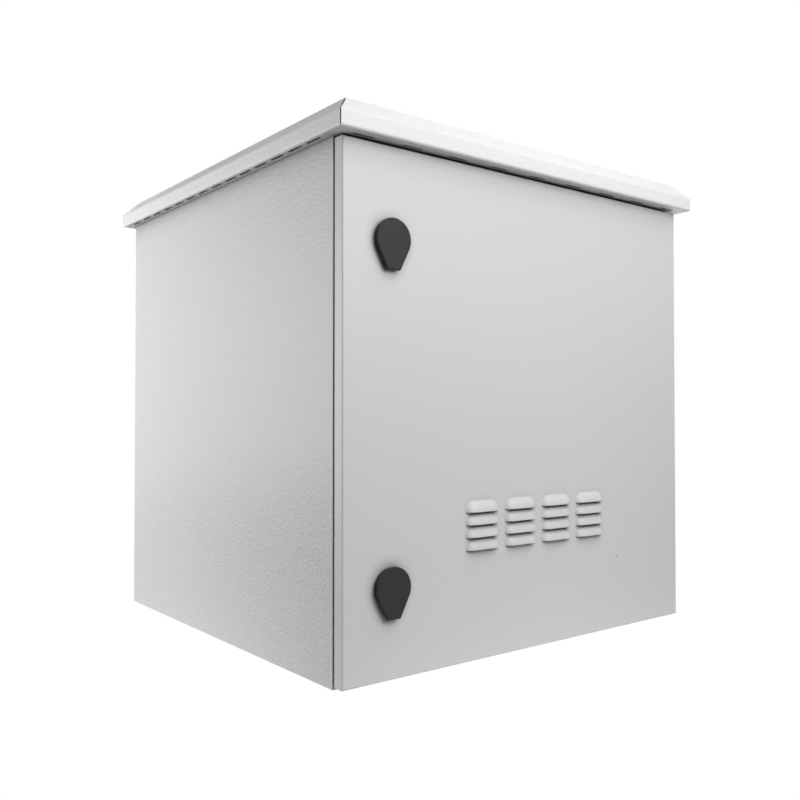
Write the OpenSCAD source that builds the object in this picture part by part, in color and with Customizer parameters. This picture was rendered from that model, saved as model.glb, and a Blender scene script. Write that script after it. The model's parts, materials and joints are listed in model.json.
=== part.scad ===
// Outdoor wall cabinet for 19-inch equipment: a folded sheet body under an overhanging
// slotted roof, with a louvred door on concealed hinges and two quarter-turn locks.
// Millimetres. X runs to the right, Y to the back and Z up. The origin lies on the base
// plane, under the middle of the roof.

/* [Body] */
// Width over the side walls
body_w = 600; // [490:1:800]
// Depth from the front frame to the back wall
body_d = 575; // [430:1:800]
// Height from the base to the wall tops
body_h = 600; // [480:1:1200]
// Sheet thickness of body, door and roof
sheet_t = 1.5; // [1.2:0.1:2]
// Outer bend radius of the folded edges
bend_r = 3; // [2.5:0.1:4]
// Width of the front frame around the door opening
frame_w = 25; // [22:0.5:32]
// How far the rain lip stands in front of the frame
lip_h = 8; // [6:0.5:9]
// Width of the returns folded in at the top and foot of the walls
return_w = 20; // [16:1:24]

/* [Roof] */
// Overhang past each side wall
roof_side = 14; // [10:0.5:30]
// Overhang past the door face
roof_front = 18; // [12:0.5:40]
// Overhang past the back wall, and the stand-off of the wall rails
roof_back = 18; // [12:0.5:40]
// Height of the upright fascia
fascia_h = 18.5; // [12:0.5:40]
// Run of the sloped hip, inwards
hip_run = 19; // [10:0.5:60]
// Rise of the sloped hip
hip_rise = 20; // [10:0.5:60]
// Lap of the soffit over the wall tops
soffit_lap = 20; // [16:0.5:30]
// Length of one soffit slot
slot_len = 28; // [15:0.5:36]
// Width of one soffit slot
slot_w = 4.5; // [3:0.1:6]
// Spacing of the slots along the sides
side_slot_pitch = 40; // [38:0.5:80]
// Spacing of the slots along front and back
front_slot_pitch = 68.5; // [40:0.5:120]
// Open seam between the folded hips at each corner, along the fascia
mitre_gap = 1.1; // [0.6:0.1:2]
// Width of that seam at the top of the hips
mitre_open = 2.6; // [1.2:0.1:4]

/* [Door] */
// Set-in of the door from the side walls
door_side = 1.25; // [0.5:0.25:2.5]
// Set-in of the door from the base plane and from the soffit
door_end = 2.5; // [1:0.25:5]
// Depth of the folded door pan
door_depth = 13.5; // [13:0.25:16]
// Inner bend radius of the door's edges
door_bend_in = 0.4; // [0.3:0.1:1.5]
// Gap between door rim and front frame
door_gap = 3.5; // [3:0.25:6]
// How much deeper the door's rim is at its free edge
closing_lip = 2.1; // [0.5:0.1:2.5]
// Width of the sealing strip
seal_w = 12; // [8:0.5:13]
// Width of a door stiffener
stiffener_w = 30; // [20:1:40]
// Depth of a door stiffener
stiffener_d = 10; // [6:0.5:11]

/* [Louvres] */
// Columns of louvres
louvre_columns = 4; // [2:1:5]
// Rows of louvres
louvre_rows = 4; // [2:1:5]
// Width of one louvre
louvre_w = 54.5; // [36:0.5:60]
// Height of one louvre
louvre_h = 13.5; // [9:0.5:14]
// How far a louvre's lip stands out of the door
louvre_proud = 7; // [4:0.5:8]
// Wall of the drawn louvre
louvre_t = 1.2; // [0.8:0.1:1.5]
// Spacing of the columns
louvre_pitch_x = 65.5; // [62:0.5:80]
// Spacing of the rows
louvre_pitch_z = 15; // [14.6:0.1:20]
// Height of the middle of the louvre field
louvre_mid = 164.2; // [130:0.1:220]
// Distance of the louvre field's middle to the right of the door's middle
louvre_x = 3; // [-15:0.5:15]

/* [Locks] */
// Lock axis from the door's free edge
lock_edge = 64; // [58:0.5:80]
// Upper lock axis from the door's top edge
lock_top = 106; // [80:0.5:160]
// Lower lock axis from the door's bottom edge
lock_foot = 102.5; // [80:0.5:160]
// Diameter of the knob's round head
knob_d = 47.4; // [36:0.5:52]
// Reach of the knob's tail below the axis
tail_reach = 34.2; // [30:0.5:44]
// Width of the tail's end
tail_w = 18; // [10:0.5:22]
// Thickness of the knob plate
knob_t = 3.6; // [3:0.1:6]
// Diameter of the drum behind the knob
drum_d = 44.5; // [34:0.5:50]
// Depth of the drum
drum_t = 4.2; // [3:0.1:6]
// Diameter of the threaded barrel through the door
barrel_d = 22; // [18:0.5:26]
// Diameter of the turning spindle
spindle_d = 10; // [8:0.5:12]
// Length of the cam from the lock axis
cam_len = 52; // [49:0.5:56]
// Width of the cam
cam_w = 16; // [14:0.5:20]
// Thickness of the cam
cam_t = 3; // [2:0.25:4]

/* [Hinges] */
// Hinge axis from the door's hinged edge
pivot_edge = 6; // [5.5:0.25:6.5]
// Hinge axis behind the door face
pivot_in = 7; // [6.75:0.25:7.5]
// Middle of each hinge from the door's top and bottom edges
hinge_end = 90; // [60:1:160]
// Diameter of the hinge pin
pin_d = 5; // [4:0.1:5.4]
// Outer diameter of the hinge eyes
eye_d = 8.4; // [8:0.1:8.8]
// Height of the fixed hinge leaf
leaf_h = 40; // [36:1:60]

/* [Rack] */
// Height of one rack unit
unit_h = 44.45; // [44.45]
// Depth of a side channel; with a 600 mm body it leaves the standard 450 mm between the rails
channel_d = 42.5; // [36:0.5:60]
// Rail holes from the inner edge of a rail's face
rail_hole_in = 7.55; // [6.5:0.05:9]
// Side of a square rail hole
rail_hole = 9.5; // [9:0.1:10]
// Width of the drilled face of a rail
rail_face_w = 31; // [28:0.5:32]
// Depth of a rail's side flange
rail_flange = 30; // [26:1:36]
// Sheet thickness of rails and channels
rail_t = 2; // [1.5:0.1:2.5]
// Front rails from the front frame
rail_front = 54; // [45:1:100]
// Rear rails from the back of the body
rail_rear = 91; // [70:1:140]
// Middle of each side channel from base and top
channel_end = 60; // [50:1:90]
// Height of a side channel
channel_h = 30; // [24:1:40]

/* [Cooling] */
// Side of a fan frame
fan_side = 120; // [110:1:130]
// Depth of a fan frame
fan_depth = 25; // [23:1:32]
// Spacing of the two fans
fan_spacing = 220; // [180:1:260]
// Spacing of a fan's fixing holes
fan_hole_span = 105; // [100:0.5:105]
// Number of blades
fan_blades = 7; // [5:1:9]

/* [Cable entry] */
// Number of cable grommets
grommet_count = 4; // [1:1:4]
// Diameter of a cable hole in the base
grommet_d = 50; // [30:1:60]
// Spacing of the cable holes
grommet_pitch = 110; // [90:1:120]
// Cable holes from the back of the body
grommet_back = 100; // [80:1:160]

/* [Wall mounting] */
// Length of a wall rail
wall_rail_len = 500; // [440:1:560]
// Middle of each wall rail from base and top
wall_rail_end = 80; // [60:1:140]
// Spacing of the wall bolts along a rail
wall_bolt_span = 400; // [300:1:410]
// Diameter of a wall bolt hole
wall_bolt_d = 11; // [8:0.5:14]
// Width of a wall rail's raised crown
crown_w = 30; // [24:1:40]
// Width of a wall rail's feet
foot_w = 16; // [14:1:22]

/* [Hidden] */
$fn = 64;

// Colours
paint = [0.80, 0.80, 0.80];
roof_paint = [0.84, 0.84, 0.84];
zinc = [0.72, 0.73, 0.74];
dark_plastic = [0.22, 0.22, 0.23];
black_rubber = [0.10, 0.10, 0.10];
brass = [0.78, 0.62, 0.30];
foam_grey = [0.45, 0.46, 0.47];

// Clearances and the overrun of all cuts
over = 1;
fit = 0.3;
weld_gap = 0.5;
run_fit = 0.05;
bolt_fit = 0.3;

// Main planes, worked out from front to back and from the middle outwards
roof_w = body_w + 2 * roof_side;
roof_d = roof_front + door_depth + door_gap + body_d + roof_back;
roof_y0 = -roof_d / 2;
roof_y1 = roof_d / 2;
door_y0 = roof_y0 + roof_front;
door_y1 = door_y0 + door_depth;
skin_y = door_y0 + sheet_t;
front_y = door_y1 + door_gap;
back_y = front_y + body_d;
mid_y = (front_y + back_y) / 2;
wall_x = body_w / 2;
inner_x = wall_x - sheet_t;
lip_x = wall_x - frame_w;
door_x = wall_x - door_side;
door_z0 = door_end;
door_z1 = body_h - door_end;
deck_z = body_h - 2 * sheet_t;

// Roof
roof_z1 = body_h + fascia_h;
roof_top = roof_z1 + hip_rise;
hip_len = sqrt(hip_run * hip_run + hip_rise * hip_rise);
seam_w = 0.8;
front_slot_in = 15;
side_slots = floor(body_d / side_slot_pitch);
front_slots = floor(roof_w / front_slot_pitch);
roof_bolt_d = 6;
roof_bolt_in = 80;
bolt_head_t = 4;
bolt_head_d = 10.5;
roof_bolt_x = wall_x - return_w / 2;
roof_bolt_ys = [front_y + roof_bolt_in, mid_y, back_y - roof_bolt_in];

// Hinges
pivot_x = door_x - pivot_edge;
pivot_y = door_y0 + pivot_in;
hinge_z_upper = door_z1 - hinge_end;
hinge_z_lower = door_z0 + hinge_end;
leaf_t = 2;
leaf_gap = 0.5;
arm_h = 8;
arm_left = 4;
arm_right = 1;
lug_h = 8;
lug_plate_t = 2;
lug_plate_w = 5.6;
notch_gap = 1.5;
pin_head_t = 2;
pin_head_d = 7.2;
pin_tail = 0.6;
leaf_x0 = lip_x + sheet_t + leaf_gap;
leaf_screw_d = 5;
leaf_screw_head_d = 8;
leaf_screw_head_t = 2;
leaf_screw_span = 28;
leaf_screw_len = 8;
leaf_screw_x = leaf_x0 + leaf_screw_head_d / 2 + fit;

// Locks
lock_x = -door_x + lock_edge;
lock_z_upper = door_z1 - lock_top;
lock_z_lower = door_z0 + lock_foot;
knob_y = door_y0 - drum_t - fit;
knob_edge = 0.8;
cam_y = front_y + sheet_t + fit;
cam_gap = 0.5;
barrel_end = cam_y - cam_gap;
lock_nut_d = 32;
lock_nut_t = 5;
spindle_sink = 2;
square_w = 7;
square_fit = 0.1;
cam_head_d = 9.5;
cam_head_t = 2.8;
cam_stud_d = 4;

// Rack
rack_units = floor((body_h - 2 * frame_w) / unit_h);
rack_h = rack_units * unit_h;
rail_margin = 6;
rail_z0 = (body_h - rack_h) / 2;
unit_hole_shares = [1 / 7, 1 / 2, 6 / 7];
web_x = inner_x - channel_d;
rail_x = web_x - rail_face_w;
front_rail_y = front_y + rail_front;
rear_rail_y = back_y - rail_rear;
channel_margin = 20;
slot_play = 7;
adjust_slot = 70;
rail_screw_d = 6;
rail_screw_in = 17;
rail_head_d = 11;
rail_head_t = 4;
rail_nut_t = 5;
channel_zs = [channel_end, body_h - channel_end];

// Cooling
fan_x = fan_spacing / 2;
fan_wall = 2;
fan_rim = 0.8;
fan_flange_t = 4;
fan_corner_r = 6;
fan_top = deck_z;
fan_bottom = fan_top - fan_depth;
fan_duct = fan_side - 2 * fan_rim;
fan_bore = fan_duct - 2 * fan_wall;
fan_hole_d = 4.3;
fan_screw_d = 4;
fan_head_d = 8;
fan_head_t = 2.5;
fan_nut_d = 7.7;
fan_nut_t = 3;
strut_w = 6;
motor_d = 44;
motor_t = 4;
shaft_d = 4;
hub_d = 42;
hub_gap = 1;
hub_h = fan_depth - motor_t - 2 * hub_gap - sheet_t;
hub_cap = 4;
shaft_len = motor_t + hub_gap + hub_h - hub_cap - fit;
blade_tip_gap = 1.5;
blade_t = 1.8;
blade_chord = 30;
blade_pitch = 35;
blade_bow_r = 45;
guard_t = 1.5;
guard_bar = 2;
guard_rings = 4;
guard_inner_r = 16;
guard_outer_r = 55;
guard_eye_d = 9;

// Cable entry and earthing
grommet_lip = 5;
grommet_under = 1.2;
grommet_over = 3;
grommet_skin = 1.6;
grommet_fit = 0.1;
earth_len = 120;
earth_h = 20;
earth_t = 4;
earth_z = 54;
earth_screws = 5;
earth_screw_pitch = 24;
earth_screw_d = 5;
earth_head_d = 9;
earth_head_t = 3;

// Door stiffeners, next to the locks
stiffener_gap = 13.75;
stiffener_end = 70;
stiffener_foot = 8;
stiffener_t = 1.2;
stiffener_x = -lock_x - lock_nut_d / 2 - stiffener_gap - stiffener_w / 2;

// Filter behind the louvres, between the stiffeners
filter_lug = 8;
filter_lug_gap = 6;
stud_x = stiffener_x - stiffener_w / 2 - filter_lug_gap - filter_lug;
stud_in = 15;
stud_rise = 62.8;
stud_d = 5;
stud_len = 8.5;
stud_nut_d = 9.2;
stud_nut_t = 4;
stud_mark_d = 4;
stud_mark_t = 0.9;
filter_x = stud_x - stud_in;
filter_rise = 46;
filter_depth = 11;
filter_sheet = 1.5;
filter_window_columns = 6;
filter_window_rows = 2;
filter_bar = 6;
door_stud_in = 66.75;
door_stud_x = door_x - door_stud_in;
door_stud_z = 60;
door_stud_d = 6;
door_stud_len = 13;
door_stud_nut_d = 11;
door_stud_nut_t = 6;
door_stud_flange_d = 15;
door_stud_flange_t = 1.6;

// Wall rails
wall_rail_t = 2;
foot_bolt_d = 6;
foot_bolt_in = 18;
wall_rail_zs = [wall_rail_end, body_h - wall_rail_end];

// A block between two opposite corners
module block(lo, hi) {
    translate(lo) cube(hi - lo);
}

// A round bar along Y, from y0 to y1
module rod_y(d, y0, y1) {
    translate([0, y0, 0]) rotate([-90, 0, 0]) cylinder(d = d, h = y1 - y0);
}

// A round bar along X, from x0 to x1
module rod_x(d, x0, x1) {
    translate([x0, 0, 0]) rotate([0, 90, 0]) cylinder(d = d, h = x1 - x0);
}

// A hexagon bar along Y, from y0 to y1
module hex_y(d, y0, y1) {
    translate([0, y0, 0]) rotate([-90, 0, 0]) cylinder(d = d, h = y1 - y0, $fn = 6);
}

// Both sides, mirrored about the middle plane
module both_sides() {
    children();
    mirror([1, 0, 0]) children();
}

// A plate of round-ended form, flat in XY
module slot_2d(len, w) {
    square([len - w, w], center = true);
    for (s = [-1, 1]) translate([s * (len - w) / 2, 0]) circle(d = w);
}

// A rectangle from lo to hi whose two far corners, at hi's Y, are round
module round_back_2d(half_w, y0, y1, r) {
    translate([-half_w, y0]) square([2 * half_w, y1 - r - y0]);
    translate([-half_w + r, y0]) square([2 * (half_w - r), y1 - y0]);
    for (s = [-1, 1]) translate([s * (half_w - r), y1 - r]) circle(r = r);
}

// Body: one sheet folded round both sides and the back
module body_wrap() {
    color(paint) difference() {
        union() {
            linear_extrude(body_h) difference() {
                round_back_2d(wall_x, front_y, back_y, bend_r);
                round_back_2d(inner_x, front_y - over, back_y - sheet_t, bend_r - sheet_t);
            }
            for (z = [0, body_h - sheet_t]) translate([0, 0, z]) wall_return();
            both_sides() front_flange();
        }
        for (z = wall_rail_zs) {
            wall_bolt_holes(z);
            foot_bolt_places(z) rod_y(foot_bolt_d + bolt_fit, back_y - sheet_t - over, back_y + over);
        }
        roof_bolt_holes();
        hinge_heights() hinge_screw_holes();
    }
}

// Returns folded inwards along the two sides and the back
module wall_return() {
    linear_extrude(sheet_t) difference() {
        round_back_2d(wall_x, front_y, back_y, bend_r);
        translate([-wall_x + return_w, front_y - over])
            square([2 * (wall_x - return_w), body_d - return_w + over]);
    }
}

// Front flange of one side with its forward rain lip
module front_flange() {
    block([lip_x, front_y, 0], [wall_x, front_y + sheet_t, body_h]);
    block([lip_x, front_y - lip_h, frame_w - sheet_t],
          [lip_x + sheet_t, front_y + sheet_t, body_h - frame_w + sheet_t]);
}

// Children repeated at each hinge height
module hinge_heights() {
    for (z = [hinge_z_lower, hinge_z_upper]) translate([0, 0, z]) children();
}

module hinge_screw_holes() {
    for (s = [-1, 1]) translate([leaf_screw_x, 0, s * leaf_screw_span / 2])
        rod_y(leaf_screw_d + bolt_fit, front_y - over, front_y + sheet_t + over);
}

// Base or top sheet with its front flange and rain lip, drawn as the base
module end_panel() {
    flange_x = lip_x - fit;
    block([-inner_x + weld_gap, front_y + sheet_t + weld_gap, sheet_t],
          [inner_x - weld_gap, back_y - sheet_t - weld_gap, 2 * sheet_t]);
    block([-flange_x, front_y, sheet_t], [flange_x, front_y + 2 * sheet_t, 2 * sheet_t]);
    block([-flange_x, front_y, sheet_t], [flange_x, front_y + sheet_t, frame_w]);
    block([-flange_x, front_y - lip_h, frame_w - sheet_t], [flange_x, front_y + sheet_t, frame_w]);
}

module base_panel() {
    color(paint) difference() {
        end_panel();
        grommet_places() cylinder(d = grommet_d, h = 2 * sheet_t + over);
    }
}

module top_panel() {
    color(paint) difference() {
        translate([0, 0, body_h]) mirror([0, 0, 1]) end_panel();
        for (s = [-1, 1]) translate([s * fan_x, mid_y, deck_z - over]) {
            cylinder(d = fan_bore, h = sheet_t + 2 * over);
            fan_corners() cylinder(d = fan_hole_d, h = sheet_t + 2 * over);
        }
        roof_bolt_holes();
    }
}

// Roof: hipped pan folded from one sheet
module roof_canopy() {
    color(roof_paint) difference() {
        hip_solid(0, bend_r);
        hip_solid(sheet_t, bend_r - sheet_t);
        block([-wall_x + soffit_lap, front_y + soffit_lap, body_h - over],
              [wall_x - soffit_lap, back_y - soffit_lap, body_h + sheet_t + over]);
        soffit_slots();
        for (sx = [-1, 1]) {
            for (sy = [-1, 1]) hip_seam(sx, sy);
            soffit_seam(sx);
        }
        roof_bolt_holes();
    }
}

// Outline of the roof across one direction, drawn in by a wall t
function hip_outline(half, t) = [
    [-half + t, body_h + t],
    [half - t, body_h + t],
    [half - t, roof_z1 - t * (hip_len - hip_rise) / hip_run],
    [half - hip_run - t * (hip_len - hip_run) / hip_rise, roof_top - t],
    [-half + hip_run + t * (hip_len - hip_run) / hip_rise, roof_top - t],
    [-half + t, roof_z1 - t * (hip_len - hip_rise) / hip_run]
];

// Where a fold of radius r at p starts and ends, then its centre; a and b are the points beside p
function fold(a, p, b, r) =
    let (u = (a - p) / norm(a - p), v = (b - p) / norm(b - p), half_angle = acos(u * v) / 2)
    let (reach = r / tan(half_angle), depth = r / sin(half_angle))
    [p + u * reach, p + v * reach, p + (u + v) / norm(u + v) * depth];

// The roof outline with its folds rounded to a radius r
module hip_2d(half, t, r) {
    points = hip_outline(half, t);
    count = len(points);
    folds = [
        for (i = [0 : count - 1])
            fold(points[(i + count - 1) % count], points[i], points[(i + 1) % count], r)
    ];
    polygon([for (f = folds, k = [0, 1]) f[k]]);
    for (f = folds) translate(f[2]) circle(r = r);
}

// Two extruded outlines crossed, which gives the hipped form
module hip_solid(t, r) {
    intersection() {
        translate([0, roof_d, 0]) rotate([90, 0, 0])
            linear_extrude(2 * roof_d) hip_2d(roof_w / 2, t, r);
        translate([-roof_w, 0, 0]) rotate([90, 0, 90])
            linear_extrude(2 * roof_w) hip_2d(roof_d / 2, t, r);
    }
}

// Vent slots on all four sides of the soffit
module soffit_slots() {
    translate([0, 0, body_h - over]) linear_extrude(sheet_t + 2 * over) {
        for (i = [0 : side_slots - 1], s = [-1, 1])
            translate([s * (wall_x + roof_side / 2), mid_y + (i - (side_slots - 1) / 2) * side_slot_pitch])
                rotate(90) slot_2d(slot_len, slot_w);
        for (i = [0 : front_slots - 1], y = [roof_y0 + front_slot_in, roof_y1 - roof_back / 2])
            translate([(i - (front_slots - 1) / 2) * front_slot_pitch, y]) slot_2d(slot_len, slot_w);
    }
}

// Open mitre seam of one corner, through fascia and hip
module hip_seam(sx, sy) {
    reach = sqrt(2) * hip_run;
    translate([sx * roof_w / 2, sy * roof_d / 2, body_h + sheet_t])
        rotate(atan2(-sy, -sx)) linear_extrude(roof_top - body_h)
            polygon([
                [-over, -mitre_gap / 2],
                [reach, -mitre_open / 2],
                [reach, mitre_open / 2],
                [-over, mitre_gap / 2]
            ]);
}

// Butt seam between the front and a side soffit strip
module soffit_seam(sx) {
    x0 = min(sx * wall_x, sx * (roof_w / 2 - sheet_t));
    translate([x0, front_y - seam_w, body_h - over])
        cube([roof_side - sheet_t, seam_w, sheet_t + 2 * over]);
}

module roof_bolt_places() {
    for (s = [-1, 1], y = roof_bolt_ys) translate([s * roof_bolt_x, y, 0]) children();
}

// Holes through the top panel, the wall return and the soffit
module roof_bolt_holes() {
    roof_bolt_places() translate([0, 0, deck_z - over])
        cylinder(d = roof_bolt_d + bolt_fit, h = 3 * sheet_t + 2 * over);
}

module roof_bolts() {
    color(zinc) roof_bolt_places() translate([0, 0, deck_z]) {
        translate([0, 0, -bolt_head_t]) cylinder(d = bolt_head_d, h = bolt_head_t, $fn = 6);
        cylinder(d = roof_bolt_d, h = 3 * sheet_t + rail_nut_t);
    }
}

module roof_nuts() {
    color(zinc) roof_bolt_places() translate([0, 0, body_h + sheet_t]) difference() {
        cylinder(d = bolt_head_d, h = rail_nut_t, $fn = 6);
        translate([0, 0, -over]) cylinder(d = roof_bolt_d + 2 * run_fit, h = rail_nut_t + 2 * over);
    }
}

// Wall bolt holes at one rail height, through back wall and rail
module wall_bolt_holes(z) {
    for (s = [-1, 1]) translate([s * wall_bolt_span / 2, 0, z])
        rod_y(wall_bolt_d, back_y - sheet_t - over, roof_y1 + over);
}

// Places of the bolts through a wall rail's feet
module foot_bolt_places(z) {
    for (sx = [-1, 1], sz = [-1, 1])
        translate([sx * (wall_rail_len / 2 - foot_bolt_in), 0, z + sz * (crown_w + foot_w) / 2]) children();
}

// Hat section whose feet bolt to the back and whose crown meets the wall
module wall_rail(z) {
    color(paint) difference() {
        translate([-wall_rail_len / 2, back_y, z]) union() {
            for (s = [-1, 1]) translate([0, 0, s * (crown_w + foot_w) / 2 - foot_w / 2])
                cube([wall_rail_len, wall_rail_t, foot_w]);
            for (s = [-1, 1]) translate([0, 0, s * (crown_w - wall_rail_t) / 2 - wall_rail_t / 2])
                cube([wall_rail_len, roof_back, wall_rail_t]);
            translate([0, roof_back - wall_rail_t, -crown_w / 2])
                cube([wall_rail_len, wall_rail_t, crown_w]);
        }
        wall_bolt_holes(z);
        foot_bolt_places(z) rod_y(foot_bolt_d + bolt_fit, back_y - over, back_y + wall_rail_t + over);
    }
}

module wall_rail_bolts() {
    head_y = back_y + wall_rail_t;
    nut_y = back_y - sheet_t;
    color(zinc) for (z = wall_rail_zs) foot_bolt_places(z) {
        hex_y(bolt_head_d, head_y, head_y + bolt_head_t);
        rod_y(foot_bolt_d, nut_y - rail_nut_t, head_y);
        hex_y(bolt_head_d, nut_y - rail_nut_t, nut_y);
    }
}

// Channel along one side wall, web inwards, that carries the rails; side is -1 or 1
module side_channel(side, z) {
    y0 = front_rail_y - channel_margin;
    y1 = rear_rail_y + channel_margin;
    color(zinc) mirror([side < 0 ? 1 : 0, 0, 0]) difference() {
        block([web_x, y0, z - channel_h / 2], [inner_x, y1, z + channel_h / 2]);
        block([web_x + rail_t, y0 - over, z - channel_h / 2 + rail_t],
              [inner_x + over, y1 + over, z + channel_h / 2 - rail_t]);
        for (y = [front_rail_y + rail_screw_in, rear_rail_y - rail_screw_in])
            translate([web_x - over, y, z]) rotate([90, 0, 90])
                linear_extrude(rail_t + 2 * over) slot_2d(adjust_slot, slot_play);
    }
}

// Upright with square holes to the 19-inch pattern; face is -1 towards the door, 1 towards the back
module rack_rail(side, face) {
    y = face < 0 ? front_rail_y : rear_rail_y;
    top = rack_h + 2 * rail_margin;
    color(zinc) translate([0, y, rail_z0 - rail_margin]) mirror([side < 0 ? 1 : 0, 0, 0])
        mirror([0, face < 0 ? 0 : 1, 0]) difference() {
            union() {
                block([rail_x, 0, 0], [web_x, rail_t, top]);
                block([web_x - rail_t, 0, 0], [web_x, rail_flange, top]);
            }
            for (u = [0 : rack_units - 1], k = unit_hole_shares)
                translate([rail_x + rail_hole_in, 0, rail_margin + (u + k) * unit_h])
                    cube([rail_hole, 2 * (rail_t + over), rail_hole], center = true);
            for (z = channel_zs) translate([0, rail_screw_in, z - rail_z0 + rail_margin])
                rod_x(rail_screw_d + bolt_fit, web_x - rail_t - over, web_x + over);
        }
}

module rail_screws() {
    color(zinc) both_sides()
        for (y = [front_rail_y + rail_screw_in, rear_rail_y - rail_screw_in], z = channel_zs)
            translate([0, y, z]) {
                head_x = web_x - rail_t;
                nut_x = web_x + rail_t;
                rod_x(rail_head_d, head_x - rail_head_t, head_x);
                rod_x(rail_screw_d, head_x, nut_x + rail_nut_t);
                rod_x(rail_head_d, nut_x, nut_x + rail_nut_t);
            }
}

// The four fixing places of a fan, about its axis
module fan_corners() {
    for (sx = [-1, 1], sy = [-1, 1])
        translate([sx * fan_hole_span / 2, sy * fan_hole_span / 2, 0]) children();
}

// Square fan flange with round corners
module fan_flange() {
    linear_extrude(fan_flange_t) {
        square([fan_side, fan_side - 2 * fan_corner_r], center = true);
        square([fan_side - 2 * fan_corner_r, fan_side], center = true);
        for (sx = [-1, 1], sy = [-1, 1])
            translate([sx * (fan_side / 2 - fan_corner_r), sy * (fan_side / 2 - fan_corner_r)])
                circle(r = fan_corner_r);
    }
}

// Fan frame: two flanges, a round duct, and the motor boss on its struts
module fan_frame(side) {
    color(dark_plastic) translate([side * fan_x, mid_y, fan_bottom]) {
        difference() {
            union() {
                fan_flange();
                translate([0, 0, fan_depth - fan_flange_t]) fan_flange();
                cylinder(d = fan_duct, h = fan_depth);
            }
            translate([0, 0, -over]) cylinder(d = fan_bore, h = fan_depth + 2 * over);
            translate([0, 0, -over]) fan_corners() cylinder(d = fan_hole_d, h = fan_depth + 2 * over);
        }
        cylinder(d = motor_d, h = motor_t);
        cylinder(d = shaft_d, h = shaft_len);
        for (a = [0 : 90 : 270]) rotate(a) translate([0, -strut_w / 2, 0])
            cube([(fan_bore + fan_wall) / 2, strut_w, motor_t]);
    }
}

// Fan rotor: hub and pitched blades
module fan_rotor(side) {
    color(black_rubber) translate([side * fan_x, mid_y, fan_bottom + motor_t + hub_gap]) difference() {
        union() {
            cylinder(d = hub_d, h = hub_h);
            for (i = [0 : fan_blades - 1]) rotate(i * 360 / fan_blades) intersection() {
                cylinder(d = fan_bore - 2 * blade_tip_gap, h = hub_h);
                translate([0, 0, hub_h / 2]) rotate([blade_pitch, 0, 0]) fan_blade();
            }
        }
        translate([0, 0, -over]) cylinder(d = shaft_d + 2 * run_fit, h = hub_h - hub_cap + over);
    }
}

// One blade along X, curved across its chord
module fan_blade() {
    root = hub_d / 2 - 2 * blade_t;
    translate([root, 0, 0]) rotate([90, 0, 90]) linear_extrude(fan_bore / 2 - root)
        translate([0, -blade_bow_r]) intersection() {
            difference() {
                circle(r = blade_bow_r + blade_t / 2);
                circle(r = blade_bow_r - blade_t / 2);
            }
            translate([-blade_chord / 2, 0]) square([blade_chord, blade_bow_r + blade_t]);
        }
}

// Finger guard: flat rings on crossed legs, each leg ending in an eye for a fan screw
module fan_guard(side) {
    ring_step = (guard_outer_r - guard_inner_r) / (guard_rings - 1);
    leg_r = fan_hole_span / sqrt(2);
    color(zinc) translate([side * fan_x, mid_y, fan_bottom - guard_t]) linear_extrude(guard_t) difference() {
        union() {
            for (i = [0 : guard_rings - 1]) guard_ring(guard_inner_r + i * ring_step);
            for (a = [45 : 90 : 315]) rotate(a) {
                translate([guard_inner_r, -guard_bar / 2]) square([leg_r - guard_inner_r, guard_bar]);
                translate([leg_r, 0]) circle(d = guard_eye_d);
            }
        }
        fan_corners() circle(d = fan_hole_d);
    }
}

// One flat ring of the finger guard, of middle radius r
module guard_ring(r) {
    difference() {
        circle(r = r + guard_bar / 2);
        circle(r = r - guard_bar / 2);
    }
}

module fan_screws() {
    head_z = fan_bottom - guard_t;
    color(zinc) for (s = [-1, 1]) translate([s * fan_x, mid_y, 0]) fan_corners() {
        translate([0, 0, head_z - fan_head_t]) cylinder(d = fan_head_d, h = fan_head_t);
        translate([0, 0, head_z]) cylinder(d = fan_screw_d, h = deck_z + sheet_t + fan_nut_t - head_z);
        translate([0, 0, deck_z + sheet_t]) cylinder(d = fan_nut_d, h = fan_nut_t, $fn = 6);
    }
}

module grommet_places() {
    for (i = [0 : grommet_count - 1])
        translate([(i - (grommet_count - 1) / 2) * grommet_pitch, back_y - grommet_back, 0]) children();
}

// Membrane grommets, closed until a cable is pushed through
module cable_grommets() {
    neck_r = grommet_d / 2 - grommet_fit;
    color(black_rubber) grommet_places() {
        translate([0, 0, sheet_t]) cylinder(r = neck_r, h = sheet_t);
        translate([0, 0, sheet_t - grommet_under]) difference() {
            cylinder(r = neck_r + grommet_lip, h = grommet_under);
            translate([0, 0, -over]) cylinder(r = neck_r - grommet_lip, h = grommet_under + over);
        }
        translate([0, 0, 2 * sheet_t]) difference() {
            cylinder(r1 = neck_r + grommet_lip, r2 = neck_r, h = grommet_over);
            translate([0, 0, grommet_skin])
                cylinder(r1 = neck_r / 2, r2 = neck_r - grommet_skin, h = grommet_over);
        }
    }
}

module earth_screw_places() {
    for (i = [0 : earth_screws - 1])
        translate([(i - (earth_screws - 1) / 2) * earth_screw_pitch, 0, earth_z]) children();
}

// Earth bar on the inside of the back wall
module earth_bar() {
    bar_y = back_y - sheet_t - earth_t;
    color(brass) difference() {
        block([-earth_len / 2, bar_y, earth_z - earth_h / 2],
              [earth_len / 2, bar_y + earth_t, earth_z + earth_h / 2]);
        earth_screw_places() rod_y(earth_screw_d + 2 * run_fit, bar_y - over, bar_y + earth_t + over);
    }
}

module earth_bar_screws() {
    bar_y = back_y - sheet_t - earth_t;
    color(zinc) earth_screw_places() {
        rod_y(earth_head_d, bar_y - earth_head_t, bar_y);
        rod_y(earth_screw_d, bar_y - earth_head_t, bar_y + earth_t - fit);
    }
}

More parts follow.
